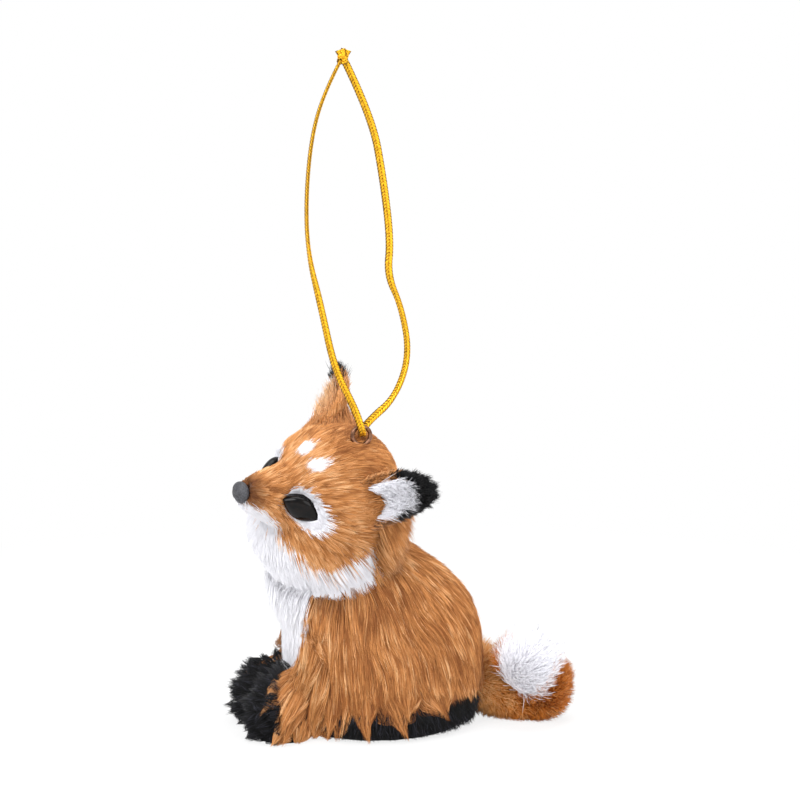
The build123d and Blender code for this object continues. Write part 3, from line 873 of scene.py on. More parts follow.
def grow_body(count, reach_flank, width):
    """Long coat that fans from the neck and ends in loose points, and the short white bib."""
    rng = np.random.default_rng(12)
    skin, head = skin_of("mantle"), skin_of("head")

    def keep(spots, normals):
        _, y, z = spots.T
        paw = smooth(z, 18.5, 17.0) * smooth(y, -16.0, -18.0)
        side = over_paw(spots)
        low = np.where(side > 0.3, 1.5, 7.0 + 4.5 * smooth(y, 2.0, 18.0))
        return (z > low) * np.maximum(1 - paw, side)

    spots, normals = skin.scatter(rng, count, keep)
    clear = head.height(spots) > -0.6
    spots, normals = spots[clear], normals[clear]
    number = len(spots)
    white = body_white(spots) > rng.random(number)
    x, y, z = spots.T
    hem = smooth(z, 22.0, 12.0) * (y < 24.0)
    sleeve = over_paw(spots)
    reach = reach_flank * (1 - 0.35 * smooth(z, 32.0, 46.0))
    longer = 0.3 + 0.18 * waves(spots, 9.0, 7) - 0.3 * smooth(y, -12.0, 0.0) - 0.15 * smooth(y, 8.0, 18.0)
    reach *= 1 + hem * longer
    reach *= 1 - 0.45 * sleeve * smooth(z, 14.0, 4.0)
    collar = smooth(z, 26.0, 38.0)
    reach = np.where(white, 4.0 + 4.0 * collar, reach) * rng.uniform(0.6, 1.15, number)
    rise = np.where(white, 0.6 + 2.2 * collar, 1.4 + 1.1 * np.maximum(hem, sleeve))
    rise *= rng.uniform(0.4, 1.3, number)
    lines = hair_lines(skin, spots, normals, body_flow, reach, rise, steps=4, cling=1 - 0.5 * sleeve,
                       hem=10.0)
    lines, small = gather(lines, rng, every=7, pull=np.where(white, 0.1, 0.42), spread=0.07)
    lines, middle = gather(lines, rng, every=70, pull=np.where(white, 0.05, 0.4), spread=0.08)
    tufted_share = np.where(white, 0.0, np.maximum(hem, 0.7 * sleeve))
    lines, _ = gather(lines, rng, every=240, pull=0.88 * tufted_share, spread=0.16, taper=0.5 * tufted_share)
    lively = 0.20 * rng.normal(size=number)[small] + 0.15 * rng.normal(size=number)[middle]
    lively -= 0.28 * (rng.random(number) < 0.14)[small]
    amount = 0.27 + lively + 0.13 * rng.normal(size=number) + 0.07 * waves(spots, 12.0, 6)
    # Painted light and shade: the coat is painted lighter towards the top and darker towards the bottom. It
    # is also made lighter towards the front
    amount += 0.2 * smooth(y, -10.0, -19.0) + 0.06 * smooth(z, 34.0, 46.0) - 0.08 * smooth(z, 14.0, 6.0)
    root, tip = ginger(amount, amount * 0.9)
    tip[white] = WHITE
    root[white] = WHITE_DEEP
    widths = np.where(white, 0.85, 1.02) * width * rng.uniform(0.8, 1.2, number)
    group = np.round(np.degrees(np.arctan2(y, x)) // 45)
    hair_pieces("body_coat", lines, widths, normals, root, tip, group)


def tufted(name, rng, spots, normals, along, reach, stand, bend, tufts, width, root, tip,
           skin_share=0.6):
    """Loose hairs drawn into tufts, as one piece.

    Tufts says every how many hairs one leads, then the pull, the spread and, for pointed tufts, the taper.
    """
    number = len(spots)
    lines = loose_lines(spots, normals, along, reach * rng.uniform(0.6, 1.2, number), stand, bend, steps=3)
    lines, _ = gather(lines, rng, *tufts)
    widths = width * rng.uniform(0.8, 1.2, number)
    hair_pieces(name, lines, widths, normals, root, tip, skin_share=skin_share)


def black_tones(rng, number):
    """Root and tip colours of black hairs; the grey tips of a few of them are a painted highlight."""
    amount = np.clip(0.34 + 0.26 * rng.normal(size=number), 0, 1)
    return np.broadcast_to(BLACK_DEEP, (number, 3)), tones(BLACK_DEEP, BLACK, BLACK_PALE, amount)


def grow_fringe(count, reach, width):
    """Black fur round the base, under the points of the coat."""
    rng = np.random.default_rng(13)
    skin = skin_of("body")
    spots, normals = skin.scatter(rng, count, lambda s, n: (s[:, 2] > 0.7) & (s[:, 2] < 8.5))
    number = len(spots)
    outward = spots * (1, 1, 0) - (0, -2, 0)
    along = unit(outward) * 0.3 + DOWN + 0.2 * rng.normal(size=(number, 3))
    along[:, 2] = np.maximum(along[:, 2], -np.clip((spots[:, 2] - 0.6) / reach, 0, 1))
    root, tip = black_tones(rng, number)
    length = reach * (0.3 + 0.7 * smooth(spots[:, 2], 0.6, 4.5))
    tufted("base_fringe", rng, spots, normals, unit(along), length, stand=0.2, bend=0.6,
           tufts=(26, 0.35, 0.12), width=width, root=root, tip=tip)


def grow_paw(side, name, count, reach, width):
    """Spiky black fur of one front paw."""
    rng = np.random.default_rng(14 + side)
    node_name = f"front_paw_{name}"
    skin, body = skin_of(node_name), skin_of("body")
    spots, normals = skin.scatter(rng, count, lambda s, n: s[:, 2] > 0.4)
    clear = (body.height(spots) > 0.5) & (over_paw(spots) < 0.5)
    spots, normals = spots[clear], normals[clear]
    number = len(spots)
    away = unit(spots - np.array((side * 7.7, -21.0, 5.0)))
    along = unit(away + np.array((0.0, -0.35, -0.25)) + 0.25 * rng.normal(size=(number, 3)))
    length = reach * (1 - 0.3 * smooth(spots[:, 2], 4.0, 1.0))
    root, tip = black_tones(rng, number)
    skin_piece(f"paw_skin_{name}", skin, BLACK_DEEP, [node_name])
    tufted(f"paw_fur_{name}", rng, spots, normals, along, length, stand=0.5, bend=0.5,
           tufts=(55, 0.9, 0.16, 0.35), width=width, root=root, tip=tip)


# The tail's middle line
TAIL_LINE = np.array((
    (0.0, 16.9, 11.9), (0.5, 23.1, 9.7), (2.2, 28.5, 5.8), (5.4, 34.3, 4.5), (8.9, 38.1, 6.7),
    (11.1, 37.0, 10.4), (12.6, 33.5, 14.4), (13.4, 30.4, 17.6), (13.5, 28.9, 19.4),
))

# Outline of the white brush in the photograph's view, right and up from the model's origin, in millimetres
BRUSH_OUTLINE = [
    (28.6, 15.5), (29.6, 18.0), (35.0, 25.0), (46.0, 25.0),
    (42.0, 14.4), (39.2, 10.0), (37.0, 6.4), (29.2, 6.6),
]
TIP_BRUSH = unit(np.array((0.05, 0.62, 0.78)))


def brush_area(spots):
    """Which places of the tail's end are white: the outline's inside, and all of the far side."""
    across, along = spots @ VIEW_RIGHT, spots @ VIEW_UP
    return inside_outline(across, along, BRUSH_OUTLINE) | (spots[:, 0] < 5.0)


def grow_tail(count, tip_count, reach, width):
    """Short rust fuzz along the tail and the fluffy white brush at its tip."""
    rng = np.random.default_rng(17)
    skin = skin_of("tail_pelt")

    def outside(spots, normals):
        away, ways = along_line(spots, TAIL_LINE)
        return (away > 2.4) & (np.abs((ways * normals).sum(axis=1)) < 0.75)

    spots, normals = skin.scatter(rng, count, outside)
    number = len(spots)
    _, ways = along_line(spots, TAIL_LINE)
    along = unit(ways + 0.7 * rng.normal(size=(number, 3)))
    amount = 0.7 + 0.2 * rng.normal(size=number) + 0.12 * waves(spots, 4.0, 8)
    # Painted light and shade: the tail's arm by the body is painted lighter, and its far bend in the hollow
    # of the curl darker
    amount += 0.14 * smooth(spots[:, 1], 29.0, 24.0) - 0.28 * smooth(spots[:, 1], 29.0, 36.0)
    tip, root = tones(RUST_DEEP, RUST, RUST_PALE, amount), tones(UMBER, RUST_DEEP, RUST, amount)
    skin_piece("tail_skin", skin, RUST_DEEP, ["tail_pelt"])
    crest = smooth(normals[:, 2], 0.0, 0.7) * smooth(spots[:, 1], 31.0, 25.0)
    along = unit(along + crest[:, None] * (0.0, 0.1, 1.2))
    tufted("tail_fur", rng, spots, normals, along, reach * (1 + 0.6 * crest), stand=0.62, bend=0.55,
           tufts=(10, 0.4, 0.25), width=width, root=root, tip=tip)

    skin = skin_of("tail_tip")
    spots, normals = skin.scatter(rng, tip_count, lambda s, n: along_line(s, TAIL_LINE)[0] > 1.4)
    number = len(spots)
    rust = ~brush_area(spots + 0.5 * rng.normal(size=(number, 3)))
    lean = np.where(rust[:, None], along_line(spots, TAIL_LINE)[1] + normals * 0.6, TIP_BRUSH + normals * 0.5)
    along = unit(lean + 0.3 * rng.normal(size=(number, 3)))
    amount = 0.36 + 0.2 * rng.normal(size=number)
    tip = np.where(rust[:, None], tones(RUST_DEEP, RUST, RUST_PALE, amount), WHITE)
    root = np.where(rust[:, None], RUST_DEEP, WHITE_DEEP)
    length = np.where(rust, 0.9, 1.2) * reach
    backing = np.where(brush_area(skin.spots)[:, None], WHITE_DEEP, RUST_DEEP)
    skin_piece("tail_tip_skin", skin, backing, ["tail_tip"])
    tufted("tail_brush", rng, spots, normals, along, length, stand=0.35, bend=0.8, tufts=(12, 0.35, 0.15),
           width=width, root=root, tip=tip, skin_share=0.4)


class Ear:
    """One ear: its directions, its drawn-in skins, and where its fur is black, ginger or white."""

    def __init__(self, side, name, dark_from, dark_tip, white_from):
        self.name, self.dark_from, self.dark_tip, self.white_from = name, dark_from, dark_tip, white_from
        self.root, self.to_tip, self.outer, self.facing = ear_frame(side)
        self.shell = self.drawn_in(skin_of(f"ear_{name}"))
        self.lining = self.drawn_in(skin_of(f"ear_lining_{name}"))

    def drawn_in(self, whole):
        """A skin made shorter and narrower, which leaves the ear's edge to the hair."""
        axes = np.array((self.to_tip, self.outer, self.facing))
        return Skin(self.root + ((whole.spots - self.root) @ axes.T * (*EAR_DRAW, 1.0)) @ axes, whole.faces)

    def measures(self, spots):
        """How far places lie along the ear, to its outer side, and towards its edge, each as a share."""
        share = (spots - self.root) @ self.to_tip / (EAR_LENGTH * EAR_DRAW[0])
        across = (spots - self.root) @ self.outer / (EAR_HALF_WIDTH * EAR_DRAW[1])
        edge = np.abs(across) / np.clip(1 - np.clip(share, 0, 1) ** 2.2, 0.12, 1)
        return share, across, edge

    def rim(self, across, edge, thin, broad):
        """1 on the rim, which is broad on the outer side of an ear that is black far down."""
        wide = (across > 0) & (self.dark_from < 0.5)
        return smooth(edge, np.where(wide, broad[0], thin[0]), np.where(wide, broad[1], thin[1]))

    def dark_share(self, spots):
        """1 where the ear's back and rim are black."""
        share, across, edge = self.measures(spots)
        start = np.where(across > 0, self.dark_from * 0.5, self.dark_from)
        run = np.where(across > 0, 0.14, 0.4)
        rim = self.rim(across, edge, thin=(0.8, 0.97), broad=(0.62, 0.85))
        return np.maximum(smooth(share - self.dark_tip, 0.0, 0.14), rim * smooth(share - start, 0.0, run))

    def inside_dark(self, spots):
        """1 where the hair inside the ear is black."""
        share, across, edge = self.measures(spots)
        rim = self.rim(across, edge, thin=(0.88, 1.0), broad=(0.6, 0.85))
        return np.maximum(smooth(share - self.dark_tip, -0.24, 0.22), rim * self.dark_share(spots))

    def ginger_share(self, spots):
        """1 where the hair inside the ear is ginger."""
        return smooth(self.measures(spots)[1], self.white_from, self.white_from - 0.3)


EAR_BACK_HAIRS, EAR_EDGE_HAIRS, EAR_INNER_HAIRS = 13_000, 9_000, 11_000


def ear_tones(rng, black):
    """Root and tip colours of an ear's ginger hairs, and of those that are black."""
    root, tip = ginger(0.5 + 0.2 * rng.normal(size=len(black)))
    return blend_to(root, BLACK_DEEP, black), blend_to(tip, BLACK, black)


def cover_ear(ear):
    """The backing of one ear and of its lining."""
    shell, lining = ear.shell, ear.lining
    dark, inner = ear.dark_share(shell.spots)[:, None], ear.inside_dark(lining.spots)[:, None]
    skin_piece(f"ear_skin_{ear.name}", shell, ORANGE * (1 - dark) + BLACK_DEEP * dark,
               [f"ear_{ear.name}"])
    lined = blend_to(np.broadcast_to(WHITE_DEEP, lining.spots.shape), ORANGE, ear.ginger_share(lining.spots))
    skin_piece(f"ear_lining_skin_{ear.name}", lining, lined * (1 - inner) + BLACK_DEEP * inner,
               [f"ear_lining_{ear.name}"])


def grow_ear_back(ear, rng, width):
    """Short fur on the back of one ear."""
    spots, normals = ear.shell.scatter(rng, EAR_BACK_HAIRS, lambda s, n: n @ ear.facing < 0.6)
    number = len(spots)
    _, across, _ = ear.measures(spots)
    along = unit(ear.to_tip + ear.outer * (across * 0.3)[:, None] + 0.15 * rng.normal(size=(number, 3)))
    root, tip = ear_tones(rng, (ear.dark_share(spots) > rng.random(number)).astype(float))
    tufted(f"ear_back_{ear.name}", rng, spots, normals, along, reach=2.6, stand=0.08, bend=0.9,
           tufts=(12, 0.5, 0.12), width=width, root=root, tip=tip)


def grow_ear_edge(ear, rng, width):
    """Pointed tufts round the edge of one ear, longest at its tip."""
    spots, normals = ear.shell.scatter(
        rng, EAR_EDGE_HAIRS, lambda s, n: (ear.measures(s)[2] > 0.8) | (ear.measures(s)[0] > 0.84))
    number = len(spots)
    share, across, _ = ear.measures(spots)
    along = unit(ear.to_tip - ear.outer * (across * 0.05)[:, None] + ear.facing * 0.1
                 + 0.2 * rng.normal(size=(number, 3)))
    black = (ear.dark_share(spots) > rng.random(number)).astype(float)
    root, tip = ear_tones(rng, black)
    length = 1.2 + 3.4 * smooth(share, 0.35, 0.85) + 0.8 * (1 - black)
    tufted(f"ear_edge_{ear.name}", rng, spots, normals, along, length, stand=0.1, bend=0.6,
           tufts=(40, 0.9, 0.3, 0.0), width=width, root=root, tip=tip, skin_share=0.3)


def grow_ear_inside(ear, rng, width):
    """Long hair inside one ear."""
    spots, normals = ear.lining.scatter(rng, EAR_INNER_HAIRS, lambda s, n: n @ ear.facing > 0.2)
    number = len(spots)
    share, _, _ = ear.measures(spots)
    along = unit(ear.to_tip + ear.facing * 0.22 + 0.2 * rng.normal(size=(number, 3)))
    black = (ear.inside_dark(spots) > rng.random(number)).astype(float)
    red = (ear.ginger_share(spots) > rng.random(number)).astype(float)
    tip = blend_to(blend_to(np.broadcast_to(WHITE, (number, 3)), ORANGE_PALE, red), BLACK, black)
    root = blend_to(blend_to(np.broadcast_to(WHITE_DEEP, (number, 3)), ORANGE, red), BLACK_DEEP, black)
    length = (6.2 * (1 - 0.35 * smooth(share, 0.3, 0.9))) * (1 - 0.15 * black)
    tufted(f"ear_inner_{ear.name}", rng, spots, normals, along, length, stand=0.2, bend=0.9,
           tufts=(18, 0.6, 0.25), width=width, root=root, tip=tip, skin_share=0.2)


# Face and metal

# The nose's middle, and its change of size and place in the head's directions
NOSE_MIDDLE = from_head((23.4, 0.0, 0.0))
NOSE_SCALE, NOSE_SHIFT = (0.68, 0.94, 1.12), (0.46, 0.0, -0.1)
NOSTRIL_DEPTH, GROOVE_DEPTH, GROOVE_LIP = 0.5, 0.32, 0.4


def make_nose(colour):
    """The moulded nose: a rounded button with two nostrils and a groove below them."""
    spots, faces = wrapped_skin(["nose"], NOSE_MIDDLE, HEAD_FORWARD, rows=70, columns=96, rounds=2, most=2.9)
    spots = NOSE_MIDDLE + ((spots - NOSE_MIDDLE) @ HEAD_AXES.T * NOSE_SCALE + NOSE_SHIFT) @ HEAD_AXES
    forward, left, up = ((spots - NOSE_MIDDLE) @ HEAD_AXES.T).T
    front = smooth(forward, -0.4, 0.8)
    nostrils = np.exp(-((np.abs(left) - 1.25) / 0.5) ** 2 - ((up + 0.45) / 0.36) ** 2)
    groove = np.exp(-(left / 0.22) ** 2) * smooth(up, 0.0, -0.8)
    spots -= HEAD_FORWARD * (front * (NOSTRIL_DEPTH * nostrils + GROOVE_DEPTH * groove))[:, None]
    spots += HEAD_UP * (GROOVE_LIP * np.exp(-(left / 0.4) ** 2) * smooth(up, -0.6, -2.0))[:, None]
    material, tree, shader = plain_material("nose", 0.5, Specular_IOR_Level=0.4)
    noise = fine_bump(tree, shader, scale=2600.0, strength=0.5, distance=0.00012, detail=3.0)
    tinted(tree, shader, noise, colour * 0.5, colour * 1.35)
    add_piece("nose_button", mesh_of("nose_button", spots, faces), material, FOX, ["nose"])


def finish_node(name, material):
    """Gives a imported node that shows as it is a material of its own."""
    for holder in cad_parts[name].material_slots:
        holder.material = material


def make_eye(side, name):
    """One polished black eye: an almond dome that stands out of the fur."""
    rings, around = 16, 64
    turn = np.linspace(0, 2 * math.pi, around, endpoint=False)
    across = EYE_HALVES[1] * np.sin(turn) * np.abs(np.sin(turn)) ** EYE_POINTED
    outline = np.stack((EYE_HALVES[0] * np.cos(turn), across), axis=1)
    spots = [np.column_stack((outline, np.full(around, -EYE_BACK)))]
    for ring in range(rings):
        share = math.cos(math.pi / 2 * ring / rings)
        height = EYE_BULGE * math.sin(math.pi / 2 * ring / rings)
        spots.append(np.column_stack((outline * share, np.full(around, height))))
    spots = np.concatenate(spots + [np.array(((0.0, 0.0, EYE_BULGE), (0.0, 0.0, -EYE_BACK)))])
    faces, column = [], np.arange(around)
    after = (column + 1) % around
    for ring in range(rings):
        here = ring * around
        faces.append(np.stack((here + column, here + after, here + around + after), axis=1))
        faces.append(np.stack((here + column, here + around + after, here + around + column), axis=1))
    last = rings * around
    faces.append(np.stack((last + column, last + after, np.full(around, last + around)), axis=1))
    faces.append(np.stack((after, column, np.full(around, last + around + 1)), axis=1))
    faces = np.concatenate(faces)
    local = EYE_SPOT - EYE_FACING * EYE_SINK + spots @ np.array((EYE_ALONG, EYE_ACROSS, EYE_FACING))
    local[:, 1] *= side
    if side * np.linalg.det(np.array((EYE_ALONG, EYE_ACROSS, EYE_FACING))) * np.linalg.det(HEAD_AXES) < 0:
        faces = faces[:, ::-1]
    mesh = mesh_of(f"eye_dome_{name}", from_head(local), faces)
    add_piece(f"eye_dome_{name}", mesh, eye_material(), FOX, [f"eye_{name}"])


def eye_material():
    """Deep black polish with a trace of brown."""
    if "eye polish" in bpy.data.materials:
        return bpy.data.materials["eye polish"]
    material, tree, shader = plain_material("eye polish", 0.13, Specular_IOR_Level=0.15)
    noise = fine_bump(tree, shader, scale=900.0, strength=0.03, distance=0.00002, detail=1.0)
    tinted(tree, shader, noise, screen(2, 2, 3), screen(16, 11, 9))
    return material


def finish_screw_eye(colour):
    """Dark bronze plating on the screw eye, brighter where it is worn."""
    material, tree, shader = plain_material("bronze plating", 0.34, Metallic=1.0)
    noise = fine_bump(tree, shader, scale=1500.0, strength=0.25, distance=0.00004)
    tinted(tree, shader, noise, colour * 0.45, colour * 1.5)
    finish_node("screw_eye", material)


def finish_cores():
    """Foam, wood, board and wire inside the fox."""
    foam, tree, shader = plain_material("foam", 0.85)
    noise = fine_bump(tree, shader, scale=700.0, strength=0.4, distance=0.0002, detail=2.0)
    tinted(tree, shader, noise, screen(222, 218, 206), screen(242, 240, 232))
    wood, tree, shader = plain_material("dowel wood", 0.6)
    noise = fine_bump(tree, shader, scale=900.0, strength=0.2, distance=0.0001, detail=6.0,
                      stretch=(1, 1, 0.06))
    tinted(tree, shader, noise, screen(186, 150, 104), screen(226, 196, 150))
    board, tree, shader = plain_material("fibre board", 0.8)
    noise = fine_bump(tree, shader, scale=1200.0, strength=0.3, distance=0.0001, detail=6.0)
    tinted(tree, shader, noise, screen(150, 116, 76), screen(182, 146, 102))
    wire, tree, shader = plain_material("tail wire", 0.32, Metallic=1.0)
    noise = fine_bump(tree, shader, scale=2000.0, strength=0.1, distance=0.00003)
    tinted(tree, shader, noise, screen(140, 140, 142), screen(190, 190, 192))
    for name, material in (("body_form", foam), ("head_form", foam), ("neck_dowel", wood),
                           ("base_board", board), ("tail_wire", wire)):
        finish_node(name, material)


# Cord loop

def cord_line():
    """Places along the cord's middle, in millimetres, evenly spaced."""
    data = bpy.data.curves.new("cord_route", "CURVE")
    data.dimensions, data.resolution_u = "3D", 24
    spline = data.splines.new("NURBS")
    spline.points.add(len(CORD_ROUTE) - 1)
    for point, spot in zip(spline.points, CORD_ROUTE):
        point.co = (*spot, 1.0)
    spline.order_u, spline.use_endpoint_u = 3, True
    holder = bpy.data.objects.new("cord_route", data)
    mesh = bpy.data.meshes.new_from_object(holder)
    spots = np.array([vertex.co[:] for vertex in mesh.vertices])
    bpy.data.objects.remove(holder)
    bpy.data.curves.remove(data)
    bpy.data.meshes.remove(mesh)
    return spots


def evenly(spots, step):
    """A line through places, cut into equal steps."""
    runs = np.linalg.norm(np.diff(spots, axis=0), axis=1)
    length = np.append(0, np.cumsum(runs))
    marks = np.linspace(0, length[-1], max(int(length[-1] / step), 8) + 1)
    return np.stack([np.interp(marks, length, spots[:, axis]) for axis in range(3)], axis=1), marks


def tube_faces(count, sides):
    """Triangles of a closed tube of rings, whose two end places come after the rings."""
    ring, side = np.meshgrid(np.arange(count - 1), np.arange(sides), indexing="ij")
    here, after = ring * sides + side, ring * sides + (side + 1) % sides
    first = np.stack((here, after, after + sides), axis=-1).reshape(-1, 3)
    second = np.stack((here, after + sides, here + sides), axis=-1).reshape(-1, 3)
    row = np.arange(sides)
    last = (count - 1) * sides
    start_cap = np.stack((np.full(sides, count * sides), (row + 1) % sides, row), axis=1)
    end_cap = np.stack((np.full(sides, count * sides + 1), last + row, last + (row + 1) % sides), axis=1)
    return np.concatenate((first, second, start_cap, end_cap))


def braid(spots, sideways, width, thickness, strands, pitch, flare=0.0, shine=np.ones_like):
    """Places, triangles and painted shades of a flat braid: flattened yarns that weave from side to side."""
    spots, marks = evenly(spots, pitch / 20)
    ways = unit(np.gradient(spots, axis=0))
    across = sideways(marks / marks[-1])
    across = unit(across - ways * (across * ways).sum(axis=1, keepdims=True))
    depth = np.cross(ways, across)
    spread = (1 + flare * marks / marks[-1])[:, None]
    yarn_half, yarn_depth = width * 0.19, thickness * 0.24
    count, sides = len(spots), 6
    rng = np.random.default_rng(51)
    all_spots, all_faces, all_shades = [], [], []
    for index in range(strands):
        turn = 2 * math.pi * (marks / pitch + index / strands)
        middle = (spots + across * ((width / 2 - yarn_half) * np.sin(turn))[:, None] * spread
                  + depth * ((thickness / 2 - yarn_depth) * np.sin(2 * turn))[:, None])
        rings = []
        for side in range(sides):
            angle = 2 * math.pi * side / sides
            rings.append(middle + across * spread * yarn_half * math.cos(angle)
                         + depth * yarn_depth * math.sin(angle))
        start = sum(len(part) for part in all_spots)
        all_spots.append(np.concatenate((np.stack(rings, axis=1).reshape(-1, 3), middle[[0, -1]])))
        all_faces.append(tube_faces(count, sides) + start)
        # Painted shade and glints: a yarn is painted darker where it dips to the middle under the others and
        # along one edge of the braid, with random painted glints along it; shine dims stretches of the cord
        # as painted shade, and the end caps get a fixed dark tone
        painted_shade_and_glint = 0.95 + 0.12 * rng.normal(size=count) - 0.7 * smooth(np.abs(np.sin(2 * turn)), 0.95, 0.3)
        painted_shade_and_glint -= 0.55 * smooth(-np.sin(turn), 0.4, 0.95)
        painted_shade_and_glint = np.clip(painted_shade_and_glint * shine(marks / marks[-1]), 0.04, 1.0)
        all_shades.append(np.append(np.repeat(painted_shade_and_glint, sides), (0.3, 0.3)))
    return np.concatenate(all_spots), np.concatenate(all_faces), np.concatenate(all_shades)


def gold_material():
    """Metallic yarn: the painted gold with a fine twist."""
    if "gold yarn" in bpy.data.materials:
        return bpy.data.materials["gold yarn"]
    material, tree, shader = plain_material("gold yarn", 0.38, Metallic=0.85, Specular_IOR_Level=0.5)
    fine_bump(tree, shader, scale=5200.0, strength=0.35, distance=0.00005, detail=2.0)
    painted(tree, shader, scale=2400.0, low=0.85, high=1.15)
    return material


def braid_turned(share):
    """Directions of the braid's width at shares of the way along the cord."""
    marks = np.array([mark for mark, _ in BRAID_TURNS])
    ways = np.array([way for _, way in BRAID_TURNS])
    index = np.clip(np.searchsorted(marks, share, side="right") - 1, 0, len(marks) - 2)
    between = smooth((share - marks[index]) / (marks[index + 1] - marks[index]), 0.0, 1.0)
    return unit(ways[index] + (ways[index + 1] - ways[index]) * between[:, None])


def gold_piece(name, parts, settings, node_name):
    """A piece of gold braid, painted between its dark and its bright tone by the braid's painted shade and
    glints.
    """
    gold, shadow = np.array(settings.gold), np.array(settings.gold_shadow)
    spots, faces, shades = parts
    mesh = mesh_of(name, spots, faces)
    paint(mesh, shadow + (gold - shadow) * shades[:, None])
    return add_piece(name, mesh, gold_material(), LOOP, [node_name])


def knot_runs():
    """The knot's stretches of braid: a small trefoil and two cut ends that flare.

    Each is its line, the direction of the braid's width, and how much it widens to its end.
    """
    turn = np.linspace(0, 2 * math.pi, 90)
    loop = np.stack((
        0.26 * (np.sin(turn) + 2 * np.sin(2 * turn)),
        0.34 * (np.cos(turn) - 2 * np.cos(2 * turn)),
        -0.6 * np.sin(3 * turn),
    ), axis=1) + KNOT_MIDDLE
    runs = [(loop, np.array((0.0, 0.2, 1.0)), 0.0)]
    for lean, shift in ((-20.0, 0.3), (20.0, -0.3)):
        way = np.array((0.0, math.sin(math.radians(lean)), math.cos(math.radians(lean))))
        end = np.linspace(-0.2, 2.3, 12)[:, None] * way + KNOT_MIDDLE + (shift, 0, 0)
        runs.append((end, np.array((0.3, 0.9, 0.0)), 0.9))
    return runs


def make_knot(settings):
    """The knot at the top of the loop, with its two cut ends."""
    width, thickness = settings.cord_width / MM, settings.cord_thickness / MM
    pitch = settings.pitch / MM
    parts, count = [], 0
    for path, across, flare in knot_runs():
        spots, faces, shades = braid(
            path, lambda share: np.broadcast_to(across, (len(share), 3)), width * KNOT_TIGHT, thickness,
            settings.strands, pitch * KNOT_PITCH, flare)
        parts.append((spots, faces + count, shades))
        count += len(spots)
    whole = [np.concatenate(group) for group in zip(*parts)]
    return gold_piece("gold_knot", whole, settings, "cord_knot")


def make_cord(settings):
    """The gold braided loop through the ring, and its knot."""
    line = cord_line()
    # Painted shade: the first stretch of the cord from the knot is painted darker than the rest
    parts = braid(line, braid_turned, settings.cord_width / MM, settings.cord_thickness / MM,
                  settings.strands, settings.pitch / MM,
                  shine=lambda share: 1 - 0.35 * smooth(share, 0.27, 0.18))
    cord = gold_piece("gold_cord", parts, settings, "hanging_cord")
    knot = make_knot(settings)


# Studio

VIEW_AIM = (0.0, 5.1, 77.5)
VIEW_SIDE, VIEW_HEIGHT = math.radians(75.0), math.radians(10.0)
SENSOR_WIDTH = 36.0
LAMP_AIM = (0, 0, 0.05)
FLOOR_HALF = 1500.0


def place_in_scene(name, data):
    """A new camera or lamp in the scene."""
    made = bpy.data.objects.new(name, data)
    bpy.context.scene.collection.objects.link(made)
    return made


def make_camera(settings):
    """The camera at the photograph's angle."""
    way = Vector((
        math.sin(VIEW_SIDE) * math.cos(VIEW_HEIGHT),
        -math.cos(VIEW_SIDE) * math.cos(VIEW_HEIGHT),
        math.sin(VIEW_HEIGHT),
    ))
    camera = place_in_scene("camera", bpy.data.cameras.new("camera"))
    camera.location = Vector(VIEW_AIM) * MM + way * settings.distance
    camera.rotation_euler = (-way).to_track_quat("-Z", "Y").to_euler()
    camera.data.lens, camera.data.sensor_width = settings.lens, SENSOR_WIDTH
    bpy.context.scene.camera = camera


def make_lamps(settings):
    """Three soft round lamps: each has a name, a place and a size in metres, and a power."""
    lamps = [
        ("key", (0.55, -0.65, 0.75), 0.7, settings.key),
        ("fill", (0.9, 0.5, 0.5), 0.9, settings.fill),
        ("top", (0.0, 0.1, 1.0), 0.8, settings.top),
    ]
    for name, place, size, power in lamps:
        light = bpy.data.lights.new(name, "AREA")
        light.shape, light.size, light.energy = "DISK", size, power
        lamp = place_in_scene(name, light)
        lamp.location = place
        lamp.rotation_euler = (Vector(LAMP_AIM) - Vector(place)).to_track_quat("-Z", "Y").to_euler()


def make_room(settings):
    """Even light from all round, and a white background for the camera and for gloss."""
    world = bpy.data.worlds.new("studio")
    bpy.context.scene.world = world
    world.use_nodes = True
    tree = world.node_tree
    back = next(item for item in tree.nodes if item.type == "BACKGROUND")
    path = tree.nodes.new("ShaderNodeLightPath")
    seen = tree.nodes.new("ShaderNodeMath")
    seen.operation = "MAXIMUM"
    level = node(tree, "ShaderNodeMapRange", To_Min=settings.world, To_Max=1.0)
    link(tree, path, "Is Camera Ray", seen, 0)
    link(tree, path, "Is Glossy Ray", seen, 1)
    link(tree, seen, "Value", level, "Value")
    link(tree, level, "Result", back, "Strength")
    back.inputs["Color"].default_value = (1, 1, 1, 1)


def floor_material():
    """Pale floor that keeps the shadow near the fox and fades to white for the camera."""
    material, tree, shader = plain_material("floor", 0.9, (0.86, 0.86, 0.86))
    glow = node(tree, "ShaderNodeEmission", Strength=1.0)
    mix = node(tree, "ShaderNodeMixShader", Fac=0.0)
    path = tree.nodes.new("ShaderNodeLightPath")
    place = tree.nodes.new("ShaderNodeTexCoord")
    away = tree.nodes.new("ShaderNodeVectorMath")
    away.operation = "LENGTH"
    fade = node(tree, "ShaderNodeMapRange", From_Min=0.05, From_Max=0.22, To_Min=0.8, To_Max=1.0)
    share = tree.nodes.new("ShaderNodeMath")
    share.operation = "MULTIPLY"
    out = next(item for item in tree.nodes if item.type == "OUTPUT_MATERIAL")
    link(tree, place, "Object", away, 0)
    link(tree, away, "Value", fade, "Value")
    link(tree, path, "Is Camera Ray", share, 0)
    link(tree, fade, "Result", share, 1)
    link(tree, share, "Value", mix, "Fac")
    link(tree, shader, "BSDF", mix, 1)
    link(tree, glow, "Emission", mix, 2)
    link(tree, mix, "Shader", out, "Surface")
    return material


